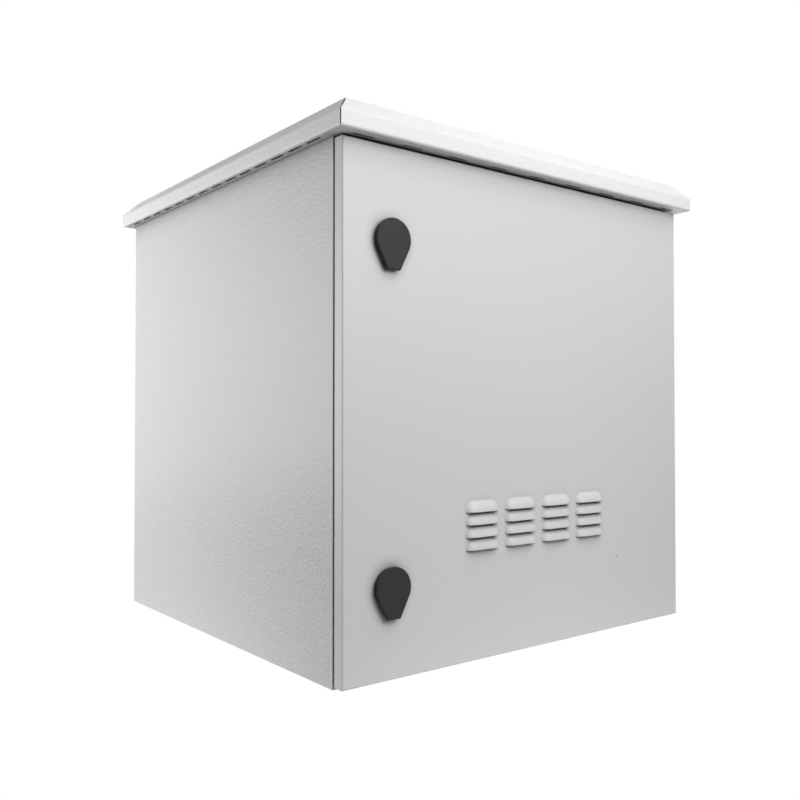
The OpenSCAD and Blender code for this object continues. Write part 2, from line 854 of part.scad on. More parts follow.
// Fixed hinge half: leaf on the frame and an arm with its eye
module hinge_bracket(z) {
    color(zinc) translate([0, 0, z]) difference() {
        union() {
            block([leaf_x0, front_y - leaf_t, -leaf_h / 2], [pivot_x + arm_right, front_y, leaf_h / 2]);
            block([pivot_x - arm_left, pivot_y, -arm_h / 2], [pivot_x + arm_right, front_y, arm_h / 2]);
            translate([pivot_x, pivot_y, -arm_h / 2]) cylinder(d = eye_d, h = arm_h);
        }
        translate([pivot_x, pivot_y, -arm_h / 2 - over])
            cylinder(d = pin_d + 2 * run_fit, h = arm_h + 2 * over);
        for (s = [-1, 1]) translate([leaf_screw_x, 0, s * leaf_screw_span / 2])
            rod_y(leaf_screw_d + bolt_fit, front_y - leaf_t - over, front_y + over);
    }
}

module hinge_bracket_screws() {
    head_y = front_y - leaf_t;
    color(zinc) hinge_heights() for (s = [-1, 1])
        translate([leaf_screw_x, 0, s * leaf_screw_span / 2]) {
            rod_y(leaf_screw_head_d, head_y - leaf_screw_head_t, head_y);
            rod_y(leaf_screw_d, head_y - leaf_screw_head_t, head_y + leaf_screw_len);
        }
}

// Moving hinge half: plate on the door with an eye above and below the fixed arm
module hinge_lugs(z) {
    lug_z = arm_h / 2 + fit;
    plate_h = arm_h + 2 * (lug_h + fit);
    plate_x1 = pivot_x - eye_d / 2;
    plate_x0 = plate_x1 - lug_plate_w;
    color(zinc) translate([0, 0, z]) difference() {
        union() {
            block([plate_x0, skin_y, -plate_h / 2], [plate_x1, skin_y + lug_plate_t, plate_h / 2]);
            for (z0 = [lug_z, -lug_z - lug_h]) {
                block([plate_x0, skin_y, z0], [door_x - bend_r - fit, pivot_y, z0 + lug_h]);
                translate([pivot_x, pivot_y, z0]) cylinder(d = eye_d, h = lug_h);
            }
        }
        translate([pivot_x, pivot_y, -plate_h])
            cylinder(d = pin_d + 2 * run_fit, h = 2 * plate_h);
    }
}

module hinge_pin(z) {
    reach = arm_h / 2 + fit + lug_h;
    color(zinc) translate([pivot_x, pivot_y, z]) {
        translate([0, 0, -reach - pin_tail]) cylinder(d = pin_d, h = 2 * reach + pin_tail);
        translate([0, 0, reach]) cylinder(d = pin_head_d, h = pin_head_t);
    }
}

// Door outline with round front edges, across one direction
module pan_2d(half, t, r) {
    mirror([0, 1]) round_back_2d(half - t, -door_y1 - (t > 0 ? over : 0), -door_y0 - t, r);
}

// Door pan of two crossed outlines, drawn in by a wall t
module pan_solid(t, r) {
    mid_z = (door_z0 + door_z1) / 2;
    half_z = (door_z1 - door_z0) / 2;
    intersection() {
        linear_extrude(2 * body_h) pan_2d(door_x, t, r);
        translate([-body_w, 0, mid_z]) rotate([0, 90, 0])
            linear_extrude(2 * body_w) pan_2d(half_z, t, r);
    }
}

// Capsule lying along X, revolved in one piece
module capsule(half_len, r) {
    rotate([0, 90, 0]) rotate_extrude() intersection() {
        union() {
            translate([-r, -half_len]) square([2 * r, 2 * half_len]);
            for (s = [-1, 1]) translate([0, s * half_len]) circle(r = r);
        }
        translate([0, -half_len - r]) square([r, 2 * (half_len + r)]);
    }
}

// Upper half of a capsule set in the door face, drawn in by a wall t
module louvre_form(t, back) {
    r = (louvre_h * louvre_h + louvre_proud * louvre_proud) / (2 * louvre_proud);
    half_len = louvre_w / 2 - louvre_h;
    intersection() {
        translate([0, door_y0 + r - louvre_proud, 0]) capsule(half_len, r - t);
        block([-louvre_w, door_y0 - 2 * louvre_proud, 0], [louvre_w, back, 2 * louvre_h]);
    }
}

module louvre_places() {
    field_h = (louvre_rows - 1) * louvre_pitch_z + louvre_h;
    for (i = [0 : louvre_columns - 1], k = [0 : louvre_rows - 1])
        translate([louvre_x + (i - (louvre_columns - 1) / 2) * louvre_pitch_x, 0,
                   louvre_mid - field_h / 2 + k * louvre_pitch_z]) children();
}

module stud_places() {
    for (sx = [-1, 1], sz = [-1, 1]) translate([sx * stud_x, 0, louvre_mid + sz * stud_rise]) children();
}

// Door: folded pan with drawn louvres, lock holes, hinge notches and welded studs
module door_panel() {
    notch_h = leaf_h + 2 * notch_gap;
    color(paint) difference() {
        union() {
            difference() {
                pan_solid(0, sheet_t + door_bend_in);
                pan_solid(sheet_t, door_bend_in);
            }
            block([-door_x, door_y1 - sheet_t, door_z0], [-door_x + sheet_t, door_y1 + closing_lip, door_z1]);
            louvre_places() louvre_form(0, skin_y);
            stud_places() rod_y(stud_d, skin_y - sheet_t / 2, skin_y + stud_len);
            translate([stud_x, 0, louvre_mid - stud_rise])
                rod_y(stud_mark_d, door_y0 - stud_mark_t, skin_y);
            translate([door_stud_x, 0, door_stud_z])
                rod_y(door_stud_d, skin_y - sheet_t / 2, skin_y + door_stud_len);
        }
        louvre_places() louvre_form(louvre_t, skin_y + over);
        for (z = [lock_z_lower, lock_z_upper]) translate([lock_x, 0, z])
            rod_y(barrel_d + bolt_fit, door_y0 - over, skin_y + over);
        hinge_heights() block([door_x - bend_r, skin_y + fit, -notch_h / 2],
                              [door_x + over, door_y1 + over, notch_h / 2]);
    }
}

// Foam strip round the door that meets the rain lip
module door_seal() {
    seal_y1 = front_y - lip_h - fit;
    seal_mid_x = lip_x + sheet_t / 2;
    seal_mid_z = frame_w - sheet_t / 2;
    half = seal_w / 2;
    color(black_rubber) difference() {
        block([-seal_mid_x - half, skin_y, seal_mid_z - half],
              [seal_mid_x + half, seal_y1, body_h - seal_mid_z + half]);
        block([-seal_mid_x + half, skin_y - over, seal_mid_z + half],
              [seal_mid_x - half, seal_y1 + over, body_h - seal_mid_z - half]);
    }
}

// Hat-section stiffener on the inside of the door
module door_stiffener(side) {
    crown = stiffener_w - 2 * stiffener_foot;
    z0 = door_z0 + stiffener_end;
    z1 = door_z1 - stiffener_end;
    color(paint) translate([side * stiffener_x, skin_y, z0]) linear_extrude(z1 - z0) {
        for (s = [-1, 1]) {
            translate([s * (crown + stiffener_foot) / 2 - stiffener_foot / 2, 0])
                square([stiffener_foot, stiffener_t]);
            translate([s * (crown - stiffener_t) / 2 - stiffener_t / 2, 0])
                square([stiffener_t, stiffener_d]);
        }
        translate([-crown / 2, stiffener_d - stiffener_t]) square([crown, stiffener_t]);
    }
}

// Tray behind the louvres, with a windowed back and four lugs
module filter_frame() {
    back = skin_y + filter_depth;
    window_w = (2 * filter_x - (filter_window_columns + 1) * filter_bar) / filter_window_columns;
    window_h = (2 * filter_rise - (filter_window_rows + 1) * filter_bar) / filter_window_rows;
    color(zinc) translate([0, 0, louvre_mid]) difference() {
        union() {
            block([-filter_x, skin_y, -filter_rise], [filter_x, back, filter_rise]);
            for (sx = [-1, 1], sz = [-1, 1]) filter_lug_form(sx, sz);
        }
        block([-filter_x + filter_sheet, skin_y - over, -filter_rise + filter_sheet],
              [filter_x - filter_sheet, back - filter_sheet, filter_rise - filter_sheet]);
        for (i = [0 : filter_window_columns - 1], k = [0 : filter_window_rows - 1])
            translate([-filter_x + filter_bar + i * (window_w + filter_bar), back - filter_sheet - over,
                       -filter_rise + filter_bar + k * (window_h + filter_bar)])
                cube([window_w, filter_sheet + 2 * over, window_h]);
        for (sx = [-1, 1], sz = [-1, 1]) translate([sx * stud_x, 0, sz * stud_rise])
            rod_y(stud_d + bolt_fit, skin_y - over, skin_y + filter_sheet + over);
    }
}

// One fixing lug: a tongue from the tray's corner to its stud
module filter_lug_form(sx, sz) {
    lug_x = filter_x - filter_lug;
    lug_z = filter_rise - filter_lug;
    translate([0, skin_y + filter_sheet, 0]) rotate([90, 0, 0]) linear_extrude(filter_sheet) {
        translate([sx * stud_x, sz * stud_rise]) circle(r = filter_lug);
        polygon([
            [sx * filter_x, sz * lug_z], [sx * (stud_x + filter_lug), sz * stud_rise],
            [sx * stud_x, sz * (stud_rise + filter_lug)], [sx * lug_x, sz * filter_rise],
            [sx * lug_x, sz * lug_z]
        ]);
    }
}

module filter_mat() {
    inset = filter_sheet + fit;
    color(foam_grey) block([-filter_x + inset, skin_y + fit, louvre_mid - filter_rise + inset],
                           [filter_x - inset, skin_y + filter_depth - filter_sheet - fit,
                            louvre_mid + filter_rise - inset]);
}

module filter_nuts() {
    nut_y = skin_y + filter_sheet;
    color(zinc) stud_places() difference() {
        hex_y(stud_nut_d, nut_y, nut_y + stud_nut_t);
        rod_y(stud_d + 2 * run_fit, nut_y - over, nut_y + stud_nut_t + over);
    }
}

// Flange nut on the door's earth stud
module door_earth_nut() {
    color(brass) translate([door_stud_x, 0, door_stud_z]) difference() {
        union() {
            hex_y(door_stud_nut_d, skin_y, skin_y + door_stud_nut_t);
            rod_y(door_stud_flange_d, skin_y, skin_y + door_stud_flange_t);
        }
        rod_y(door_stud_d + 2 * run_fit, skin_y - over, skin_y + door_stud_nut_t + over);
    }
}

// Fixed lock half: drum in front of the door and a threaded barrel through it
module lock_housing(z) {
    color(dark_plastic) translate([lock_x, 0, z]) difference() {
        union() {
            rod_y(drum_d, door_y0 - drum_t, door_y0);
            rod_y(barrel_d, door_y0 - drum_t, barrel_end);
        }
        rod_y(spindle_d + 2 * run_fit, door_y0 - drum_t - over, barrel_end + over);
    }
}

module lock_nut(z) {
    color(zinc) translate([lock_x, 0, z]) difference() {
        hex_y(lock_nut_d, skin_y, skin_y + lock_nut_t);
        rod_y(barrel_d + 2 * run_fit, skin_y - over, skin_y + lock_nut_t + over);
    }
}

// Outline of the knob: round head with straight sides drawn to the tail
module pear_2d(grow) {
    r = knob_d / 2 - grow;
    end = [tail_w / 2 - grow, -tail_reach + grow];
    lean = atan2(end[1], end[0]) + acos(r / norm(end));
    touch = [r * cos(lean), r * sin(lean)];
    circle(r = r);
    polygon([end, touch, [-touch[0], touch[1]], [-end[0], end[1]]]);
}

// Knob plate with a small step at its front edge
module lock_knob(z) {
    color(dark_plastic) translate([lock_x, knob_y, z]) rotate([90, 0, 0]) difference() {
        union() {
            linear_extrude(knob_t - knob_edge) pear_2d(0);
            linear_extrude(knob_t) pear_2d(knob_edge / 2);
        }
        translate([0, 0, -over]) cylinder(d = spindle_d + 2 * run_fit, h = spindle_sink + over);
    }
}

module lock_spindle(z) {
    color(zinc) translate([lock_x, 0, z]) {
        rod_y(spindle_d, knob_y - spindle_sink, cam_y);
        translate([-square_w / 2, cam_y, -square_w / 2]) cube([square_w, cam_t, square_w]);
    }
}

// Cam that turns behind the front frame, drawn hanging down
module lock_cam(z) {
    hole_w = square_w + 2 * square_fit;
    color(zinc) translate([lock_x, cam_y + cam_t, z]) rotate([90, 0, 0]) linear_extrude(cam_t) difference() {
        union() {
            circle(d = cam_w);
            translate([-cam_w / 2, -cam_len + cam_w / 2]) square([cam_w, cam_len - cam_w / 2]);
            translate([0, -cam_len + cam_w / 2]) circle(d = cam_w);
        }
        square(hole_w, center = true);
    }
}

module cam_screw(z) {
    head_y = cam_y + cam_t;
    color(zinc) translate([lock_x, 0, z]) difference() {
        hex_y(cam_head_d, head_y, head_y + cam_head_t);
        rod_y(cam_stud_d, head_y + cam_head_t / 2, head_y + cam_head_t + over);
    }
}

body_wrap();
base_panel();
top_panel();
roof_canopy();
roof_bolts();
roof_nuts();
wall_rail(wall_rail_zs[1]);  // wall_rail_upper
wall_rail(wall_rail_zs[0]);  // wall_rail_lower
wall_rail_bolts();
side_channel(-1, channel_zs[1]);  // side_channel_upper_left
side_channel(1, channel_zs[1]);  // side_channel_upper_right
side_channel(-1, channel_zs[0]);  // side_channel_lower_left
side_channel(1, channel_zs[0]);  // side_channel_lower_right
rack_rail(-1, -1);  // front_rail_left
rack_rail(1, -1);  // front_rail_right
rack_rail(-1, 1);  // rear_rail_left
rack_rail(1, 1);  // rear_rail_right
rail_screws();
fan_frame(-1);  // fan_frame_left
fan_frame(1);  // fan_frame_right
fan_rotor(-1);  // fan_rotor_left
fan_rotor(1);  // fan_rotor_right
fan_guard(-1);  // fan_guard_left
fan_guard(1);  // fan_guard_right
fan_screws();
cable_grommets();
earth_bar();
earth_bar_screws();
hinge_bracket(hinge_z_upper);  // hinge_bracket_upper
hinge_bracket(hinge_z_lower);  // hinge_bracket_lower
hinge_bracket_screws();
door_panel();
door_seal();
door_stiffener(-1);  // door_stiffener_left
door_stiffener(1);  // door_stiffener_right
filter_frame();
filter_mat();
filter_nuts();
door_earth_nut();
hinge_lugs(hinge_z_upper);  // hinge_lugs_upper
hinge_lugs(hinge_z_lower);  // hinge_lugs_lower
hinge_pin(hinge_z_upper);  // hinge_pin_upper
hinge_pin(hinge_z_lower);  // hinge_pin_lower
lock_housing(lock_z_upper);  // lock_housing_upper
lock_housing(lock_z_lower);  // lock_housing_lower
lock_nut(lock_z_upper);  // lock_nut_upper
lock_nut(lock_z_lower);  // lock_nut_lower
lock_knob(lock_z_upper);  // lock_knob_upper
lock_knob(lock_z_lower);  // lock_knob_lower
lock_spindle(lock_z_upper);  // lock_spindle_upper
lock_spindle(lock_z_lower);  // lock_spindle_lower
lock_cam(lock_z_upper);  // lock_cam_upper
lock_cam(lock_z_lower);  // lock_cam_lower
cam_screw(lock_z_upper);  // cam_screw_upper
cam_screw(lock_z_lower);  // cam_screw_lower
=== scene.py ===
"""Looks of an outdoor utility cabinet: its finishes, softened edges, fasteners, light and camera."""
import json
import logging
import math
from dataclasses import dataclass
from enum import Enum
from typing import Iterable, Sequence

import bmesh
import bpy
from mathutils import Matrix, Vector


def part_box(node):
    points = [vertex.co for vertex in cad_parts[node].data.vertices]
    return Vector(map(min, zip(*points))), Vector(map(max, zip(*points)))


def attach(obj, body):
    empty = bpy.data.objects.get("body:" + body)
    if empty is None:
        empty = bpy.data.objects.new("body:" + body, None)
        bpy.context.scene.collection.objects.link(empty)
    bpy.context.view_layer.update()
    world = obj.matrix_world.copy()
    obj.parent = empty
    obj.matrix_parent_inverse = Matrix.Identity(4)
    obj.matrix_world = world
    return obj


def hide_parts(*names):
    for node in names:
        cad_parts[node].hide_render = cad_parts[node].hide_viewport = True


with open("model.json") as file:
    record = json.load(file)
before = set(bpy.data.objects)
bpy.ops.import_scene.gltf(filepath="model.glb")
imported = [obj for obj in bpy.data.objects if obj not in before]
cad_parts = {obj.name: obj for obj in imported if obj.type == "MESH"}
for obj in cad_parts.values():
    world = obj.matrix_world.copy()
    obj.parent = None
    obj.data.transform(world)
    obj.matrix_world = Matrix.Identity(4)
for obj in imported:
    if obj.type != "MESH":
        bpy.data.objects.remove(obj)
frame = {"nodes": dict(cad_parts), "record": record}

LOG = logging.getLogger("cabinet")
MM = 0.001
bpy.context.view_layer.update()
MERGE = 0.002 * MM
FLAT_ANGLE = math.radians(0.3)
SHARP_ANGLE = math.radians(38)
NOISE_MIDDLE = 0.5
EVEN_SHARE = 0.5
# Rays for the ambient occlusion of the painted shade.
SHADE_RAYS = 8
HEX_FLAT = math.cos(math.pi / 6)

Colour = tuple[float, float, float]
Point = tuple[float, float, float]
Ring = list[Point]
Socket = bpy.types.NodeSocket


# Node trees


class NodeSheet:
    """Adds nodes to one node tree and joins them."""

    def __init__(self, tree: bpy.types.NodeTree) -> None:
        """Take the tree that the nodes go into."""
        self.tree = tree

    def add(self, kind: str, **settings: object) -> bpy.types.Node:
        """Add one node.

        Args:
            kind: the node's type name.
            settings: attributes of the node and the values they take.

        Returns:
            The new node.
        """
        node = self.tree.nodes.new(kind)
        for name, value in settings.items():
            setattr(node, name, value)
        return node

    def join(self, source: Socket, target: Socket) -> None:
        """Link an output socket to an input socket."""
        self.tree.links.new(source, target)

    def math(self, operation: str, a: Socket, b: Socket | float) -> Socket:
        """Combine two numbers.

        Args:
            operation: the Math node's operation.
            a: the first number.
            b: the second number, a socket or a constant.

        Returns:
            The socket that holds the result.
        """
        node = self.add("ShaderNodeMath", operation=operation)
        self.join(a, node.inputs[0])
        if isinstance(b, float):
            node.inputs[1].default_value = b
        else:
            self.join(b, node.inputs[1])
        return node.outputs[0]

    def one_over(self, size: Socket) -> Socket:
        """Turn a size into the scale of a texture.

        Args:
            size: the size of the texture's features.

        Returns:
            The socket that holds the scale.
        """
        node = self.add("ShaderNodeMath", operation="DIVIDE")
        node.inputs[0].default_value = 1.0
        self.join(size, node.inputs[1])
        return node.outputs[0]

    def spread(self, source: Socket, low: float, high: float) -> Socket:
        """Map a value from 0..1 to low..high.

        Args:
            source: the value to map.
            low: the result at 0.
            high: the result at 1.

        Returns:
            The socket that holds the result.
        """
        node = self.add("ShaderNodeMapRange")
        node.inputs["To Min"].default_value = low
        node.inputs["To Max"].default_value = high
        self.join(source, node.inputs["Value"])
        return node.outputs["Result"]

    def blend(self, share: Socket, low: Colour, high: Colour) -> Socket:
        """Mix two colours by a share that varies over the surface.

        Args:
            share: 0 gives low and 1 gives high.
            low: the first colour.
            high: the second colour.

        Returns:
            The socket that holds the colour.
        """
        node = self.add("ShaderNodeMix", data_type="RGBA")
        node.inputs[6].default_value = (*low, 1.0)
        node.inputs[7].default_value = (*high, 1.0)
        self.join(share, node.inputs[0])
        return node.outputs[2]


TreeParts = tuple[bpy.types.NodeTree, NodeSheet, bpy.types.Node, bpy.types.Node]


def new_group(name: str, inputs: dict[str, float | None], outputs: Iterable[str]) -> TreeParts:
    """Start a shader node group.

    Args:
        name: the group's name.
        inputs: each input's name with its default, or None for a vector.
        outputs: the names of its value outputs.

    Returns:
        The tree, its sheet, and the group's input and output nodes.
    """
    tree = bpy.data.node_groups.new(name, "ShaderNodeTree")
    for label, default in inputs.items():
        kind = "NodeSocketVector" if default is None else "NodeSocketFloat"
        socket = tree.interface.new_socket(label, in_out="INPUT", socket_type=kind)
        if default is not None:
            socket.default_value = default
    for label in outputs:
        tree.interface.new_socket(label, in_out="OUTPUT", socket_type="NodeSocketFloat")
    sheet = NodeSheet(tree)
    return tree, sheet, sheet.add("NodeGroupInput"), sheet.add("NodeGroupOutput")


def surface_grain() -> bpy.types.NodeTree:
    """Make the group for cast and sprayed skins: a two-size relief and broad, soft patches.

    Returns:
        The node group, built once.
    """
    name = "Surface grain"
    if name in bpy.data.node_groups:
        return bpy.data.node_groups[name]
    inputs = {"Place": None, "Coarse size": 0.004, "Fine size": 0.001, "Fine share": 0.3, "Patch size": 0.2}
    tree, sheet, source, result = new_group(name, inputs, ("Height", "Patches"))
    values = {}
    for label, detail in (("Coarse size", 2.0), ("Fine size", 1.0), ("Patch size", 3.0)):
        texture = sheet.add("ShaderNodeTexNoise")
        texture.inputs["Detail"].default_value = detail
        sheet.join(sheet.one_over(source.outputs[label]), texture.inputs["Scale"])
        sheet.join(source.outputs["Place"], texture.inputs["Vector"])
        values[label] = texture.outputs["Fac"]
    mix = sheet.add("ShaderNodeMix", data_type="FLOAT")
    sheet.join(source.outputs["Fine share"], mix.inputs[0])
    sheet.join(values["Coarse size"], mix.inputs[2])
    sheet.join(values["Fine size"], mix.inputs[3])
    sheet.join(mix.outputs[0], result.inputs["Height"])
    sheet.join(values["Patch size"], result.inputs["Patches"])
    return tree


def crystal_tone() -> bpy.types.NodeTree:
    """Make the group for plated metal: small crystals that differ in tone and polish, under faint streaks.

    Returns:
        The node group, built once.
    """
    name = "Crystal tone"
    if name in bpy.data.node_groups:
        return bpy.data.node_groups[name]
    inputs = {"Place": None, "Crystal size": 0.006, "Streak size": 0.002}
    tree, sheet, source, result = new_group(name, inputs, ("Tone", "Polish"))
    crystals, streaks = sheet.add("ShaderNodeTexVoronoi"), sheet.add("ShaderNodeTexNoise")
    streaks.inputs["Detail"].default_value = 4.0
    for texture, label in ((crystals, "Crystal size"), (streaks, "Streak size")):
        sheet.join(sheet.one_over(source.outputs[label]), texture.inputs["Scale"])
        sheet.join(source.outputs["Place"], texture.inputs["Vector"])
    split = sheet.add("ShaderNodeSeparateColor")
    sheet.join(crystals.outputs["Color"], split.inputs[0])
    both = sheet.math("ADD", split.outputs[0], streaks.outputs["Fac"])
    tone = sheet.math("MULTIPLY", both, EVEN_SHARE)
    sheet.join(tone, result.inputs["Tone"])
    sheet.join(streaks.outputs["Fac"], result.inputs["Polish"])
    return tree


def painted_corner_shade() -> bpy.types.NodeTree:
    """Make the group for painted shade: ambient occlusion that darkens a colour the less open a corner is.

    Returns:
        The node group, built once.
    """
    name = "Corner dust"
    if name in bpy.data.node_groups:
        return bpy.data.node_groups[name]
    tree, sheet, source, result = new_group(name, {"Reach": 0.014, "Strength": 1.0}, ("Cleanness",))
    # Painted shade: ambient occlusion, by which the colour is darkened.
    corner = sheet.add("ShaderNodeAmbientOcclusion", samples=SHADE_RAYS)
    sheet.join(source.outputs["Reach"], corner.inputs["Distance"])
    unshaded = sheet.math("POWER", corner.outputs["AO"], source.outputs["Strength"])
    sheet.join(unshaded, result.inputs["Cleanness"])
    return tree


def new_tree(name: str, inputs: dict[str, str], output: str) -> TreeParts:
    """Start a geometry node tree.

    Args:
        name: the tree's name.
        inputs: each input's name with its socket type.
        output: the name of its geometry output.

    Returns:
        The tree, its sheet, and its input and output nodes.
    """
    tree = bpy.data.node_groups.new(name, "GeometryNodeTree")
    for label, kind in inputs.items():
        tree.interface.new_socket(label, in_out="INPUT", socket_type=kind)
    tree.interface.new_socket(output, in_out="OUTPUT", socket_type="NodeSocketGeometry")
    sheet = NodeSheet(tree)
    return tree, sheet, sheet.add("NodeGroupInput"), sheet.add("NodeGroupOutput")


def close_tree(sheet: NodeSheet, shape: Socket, source: bpy.types.Node, result: bpy.types.Node) -> None:
    """End a geometry tree: realise its instances and give them the finish.

    Args:
        sheet: the tree's sheet.
        shape: the geometry so far.
        source: the tree's input node.
        result: the tree's output node.
    """
    real = sheet.add("GeometryNodeRealizeInstances")
    finish = sheet.add("GeometryNodeSetMaterial")
    sheet.join(shape, real.inputs["Geometry"])
    sheet.join(real.outputs["Geometry"], finish.inputs["Geometry"])
    sheet.join(source.outputs["Finish"], finish.inputs["Material"])
    sheet.join(finish.outputs["Geometry"], result.inputs[0])


def fitting_row() -> bpy.types.NodeTree:
    """Make the tree that sets a template on each point, facing the point's aim, with a chance turn about it.

    Returns:
        The tree, built once.
    """
    name = "Fitting row"
    if name in bpy.data.node_groups:
        return bpy.data.node_groups[name]
    tree, sheet, source, result = new_tree(name, {
        "Points": "NodeSocketGeometry", "Template": "NodeSocketObject", "Greatest turn": "NodeSocketFloat",
        "Seed": "NodeSocketInt", "Finish": "NodeSocketMaterial"}, "Row")
    aim = sheet.add("GeometryNodeInputNamedAttribute", data_type="FLOAT_VECTOR")
    aim.inputs["Name"].default_value = "aim"
    face = sheet.add("FunctionNodeAlignRotationToVector", axis="Z")
    sheet.join(aim.outputs["Attribute"], face.inputs["Vector"])
    chance = sheet.add("FunctionNodeRandomValue", data_type="FLOAT")
    sheet.join(source.outputs["Greatest turn"], chance.inputs[3])
    sheet.join(source.outputs["Seed"], chance.inputs["Seed"])
    turn = sheet.add("FunctionNodeAxisAngleToRotation")
    turn.inputs["Axis"].default_value = (0.0, 0.0, 1.0)
    sheet.join(chance.outputs[1], turn.inputs["Angle"])
    both = sheet.add("FunctionNodeRotateRotation", rotation_space="LOCAL")
    sheet.join(face.outputs["Rotation"], both.inputs["Rotation"])
    sheet.join(turn.outputs["Rotation"], both.inputs["Rotate By"])
    template = sheet.add("GeometryNodeObjectInfo")
    template.inputs["As Instance"].default_value = True
    sheet.join(source.outputs["Template"], template.inputs["Object"])
    copies = sheet.add("GeometryNodeInstanceOnPoints")
    sheet.join(source.outputs["Points"], copies.inputs["Points"])
    sheet.join(template.outputs["Geometry"], copies.inputs["Instance"])
    sheet.join(both.outputs["Rotation"], copies.inputs["Rotation"])
    close_tree(sheet, copies.outputs["Instances"], source, result)
    return tree


def strip_sweep() -> bpy.types.NodeTree:
    """Make the tree that sweeps a strip's section round a rectangle with round corners.

    Returns:
        The tree, built once.
    """
    name = "Strip sweep"
    if name in bpy.data.node_groups:
        return bpy.data.node_groups[name]
    tree, sheet, source, result = new_tree(name, {
        "Section": "NodeSocketGeometry", "Width": "NodeSocketFloat", "Height": "NodeSocketFloat",
        "Corner radius": "NodeSocketFloat", "Corner steps": "NodeSocketInt", "Finish": "NodeSocketMaterial"},
        "Strip")
    path = sheet.add("GeometryNodeCurvePrimitiveQuadrilateral")
    sheet.join(source.outputs["Width"], path.inputs["Width"])
    sheet.join(source.outputs["Height"], path.inputs["Height"])
    corners = sheet.add("GeometryNodeFilletCurve", mode="POLY")
    sheet.join(source.outputs["Corner steps"], corners.inputs["Count"])
    sheet.join(path.outputs["Curve"], corners.inputs["Curve"])
    sheet.join(source.outputs["Corner radius"], corners.inputs["Radius"])
    upright = sheet.add("GeometryNodeSetCurveNormal", mode="Z_UP")
    sheet.join(corners.outputs["Curve"], upright.inputs["Curve"])
    section = sheet.add("GeometryNodeMeshToCurve")
    sheet.join(source.outputs["Section"], section.inputs["Mesh"])
    sweep = sheet.add("GeometryNodeCurveToMesh")
    sheet.join(upright.outputs["Curve"], sweep.inputs["Curve"])
    sheet.join(section.outputs["Curve"], sweep.inputs["Profile Curve"])
    close_tree(sheet, sweep.outputs["Mesh"], source, result)
    return tree


def foam_skin() -> bpy.types.NodeTree:
    """Make the tree that sinks a slab's skin into open cells.

    Returns:
        The tree, built once.
    """
    name = "Foam skin"
    if name in bpy.data.node_groups:
        return bpy.data.node_groups[name]
    tree, sheet, source, result = new_tree(name, {
        "Slab": "NodeSocketGeometry", "Cell size": "NodeSocketFloat", "Depth": "NodeSocketFloat",
        "Finish": "NodeSocketMaterial"}, "Foam")
    cells = sheet.add("ShaderNodeTexNoise")
    cells.inputs["Detail"].default_value = 1.0
    sheet.join(sheet.one_over(source.outputs["Cell size"]), cells.inputs["Scale"])
    depth = sheet.math("MULTIPLY", cells.outputs["Fac"], source.outputs["Depth"])
    inward = sheet.math("MULTIPLY", depth, -1.0)
    push = sheet.add("ShaderNodeVectorMath", operation="SCALE")
    sheet.join(sheet.add("GeometryNodeInputNormal").outputs["Normal"], push.inputs[0])
    sheet.join(inward, push.inputs["Scale"])
    move = sheet.add("GeometryNodeSetPosition")
    sheet.join(source.outputs["Slab"], move.inputs["Geometry"])
    sheet.join(push.outputs["Vector"], move.inputs["Offset"])
    close_tree(sheet, move.outputs["Geometry"], source, result)
    return tree


# Finishes


class Look(Enum):
    """The kinds of finish that the pieces take."""

    COAT = "powder coat"
    METAL = "plated metal"
    MOULDED = "moulded plastic or rubber"
    FOAM = "open foam"


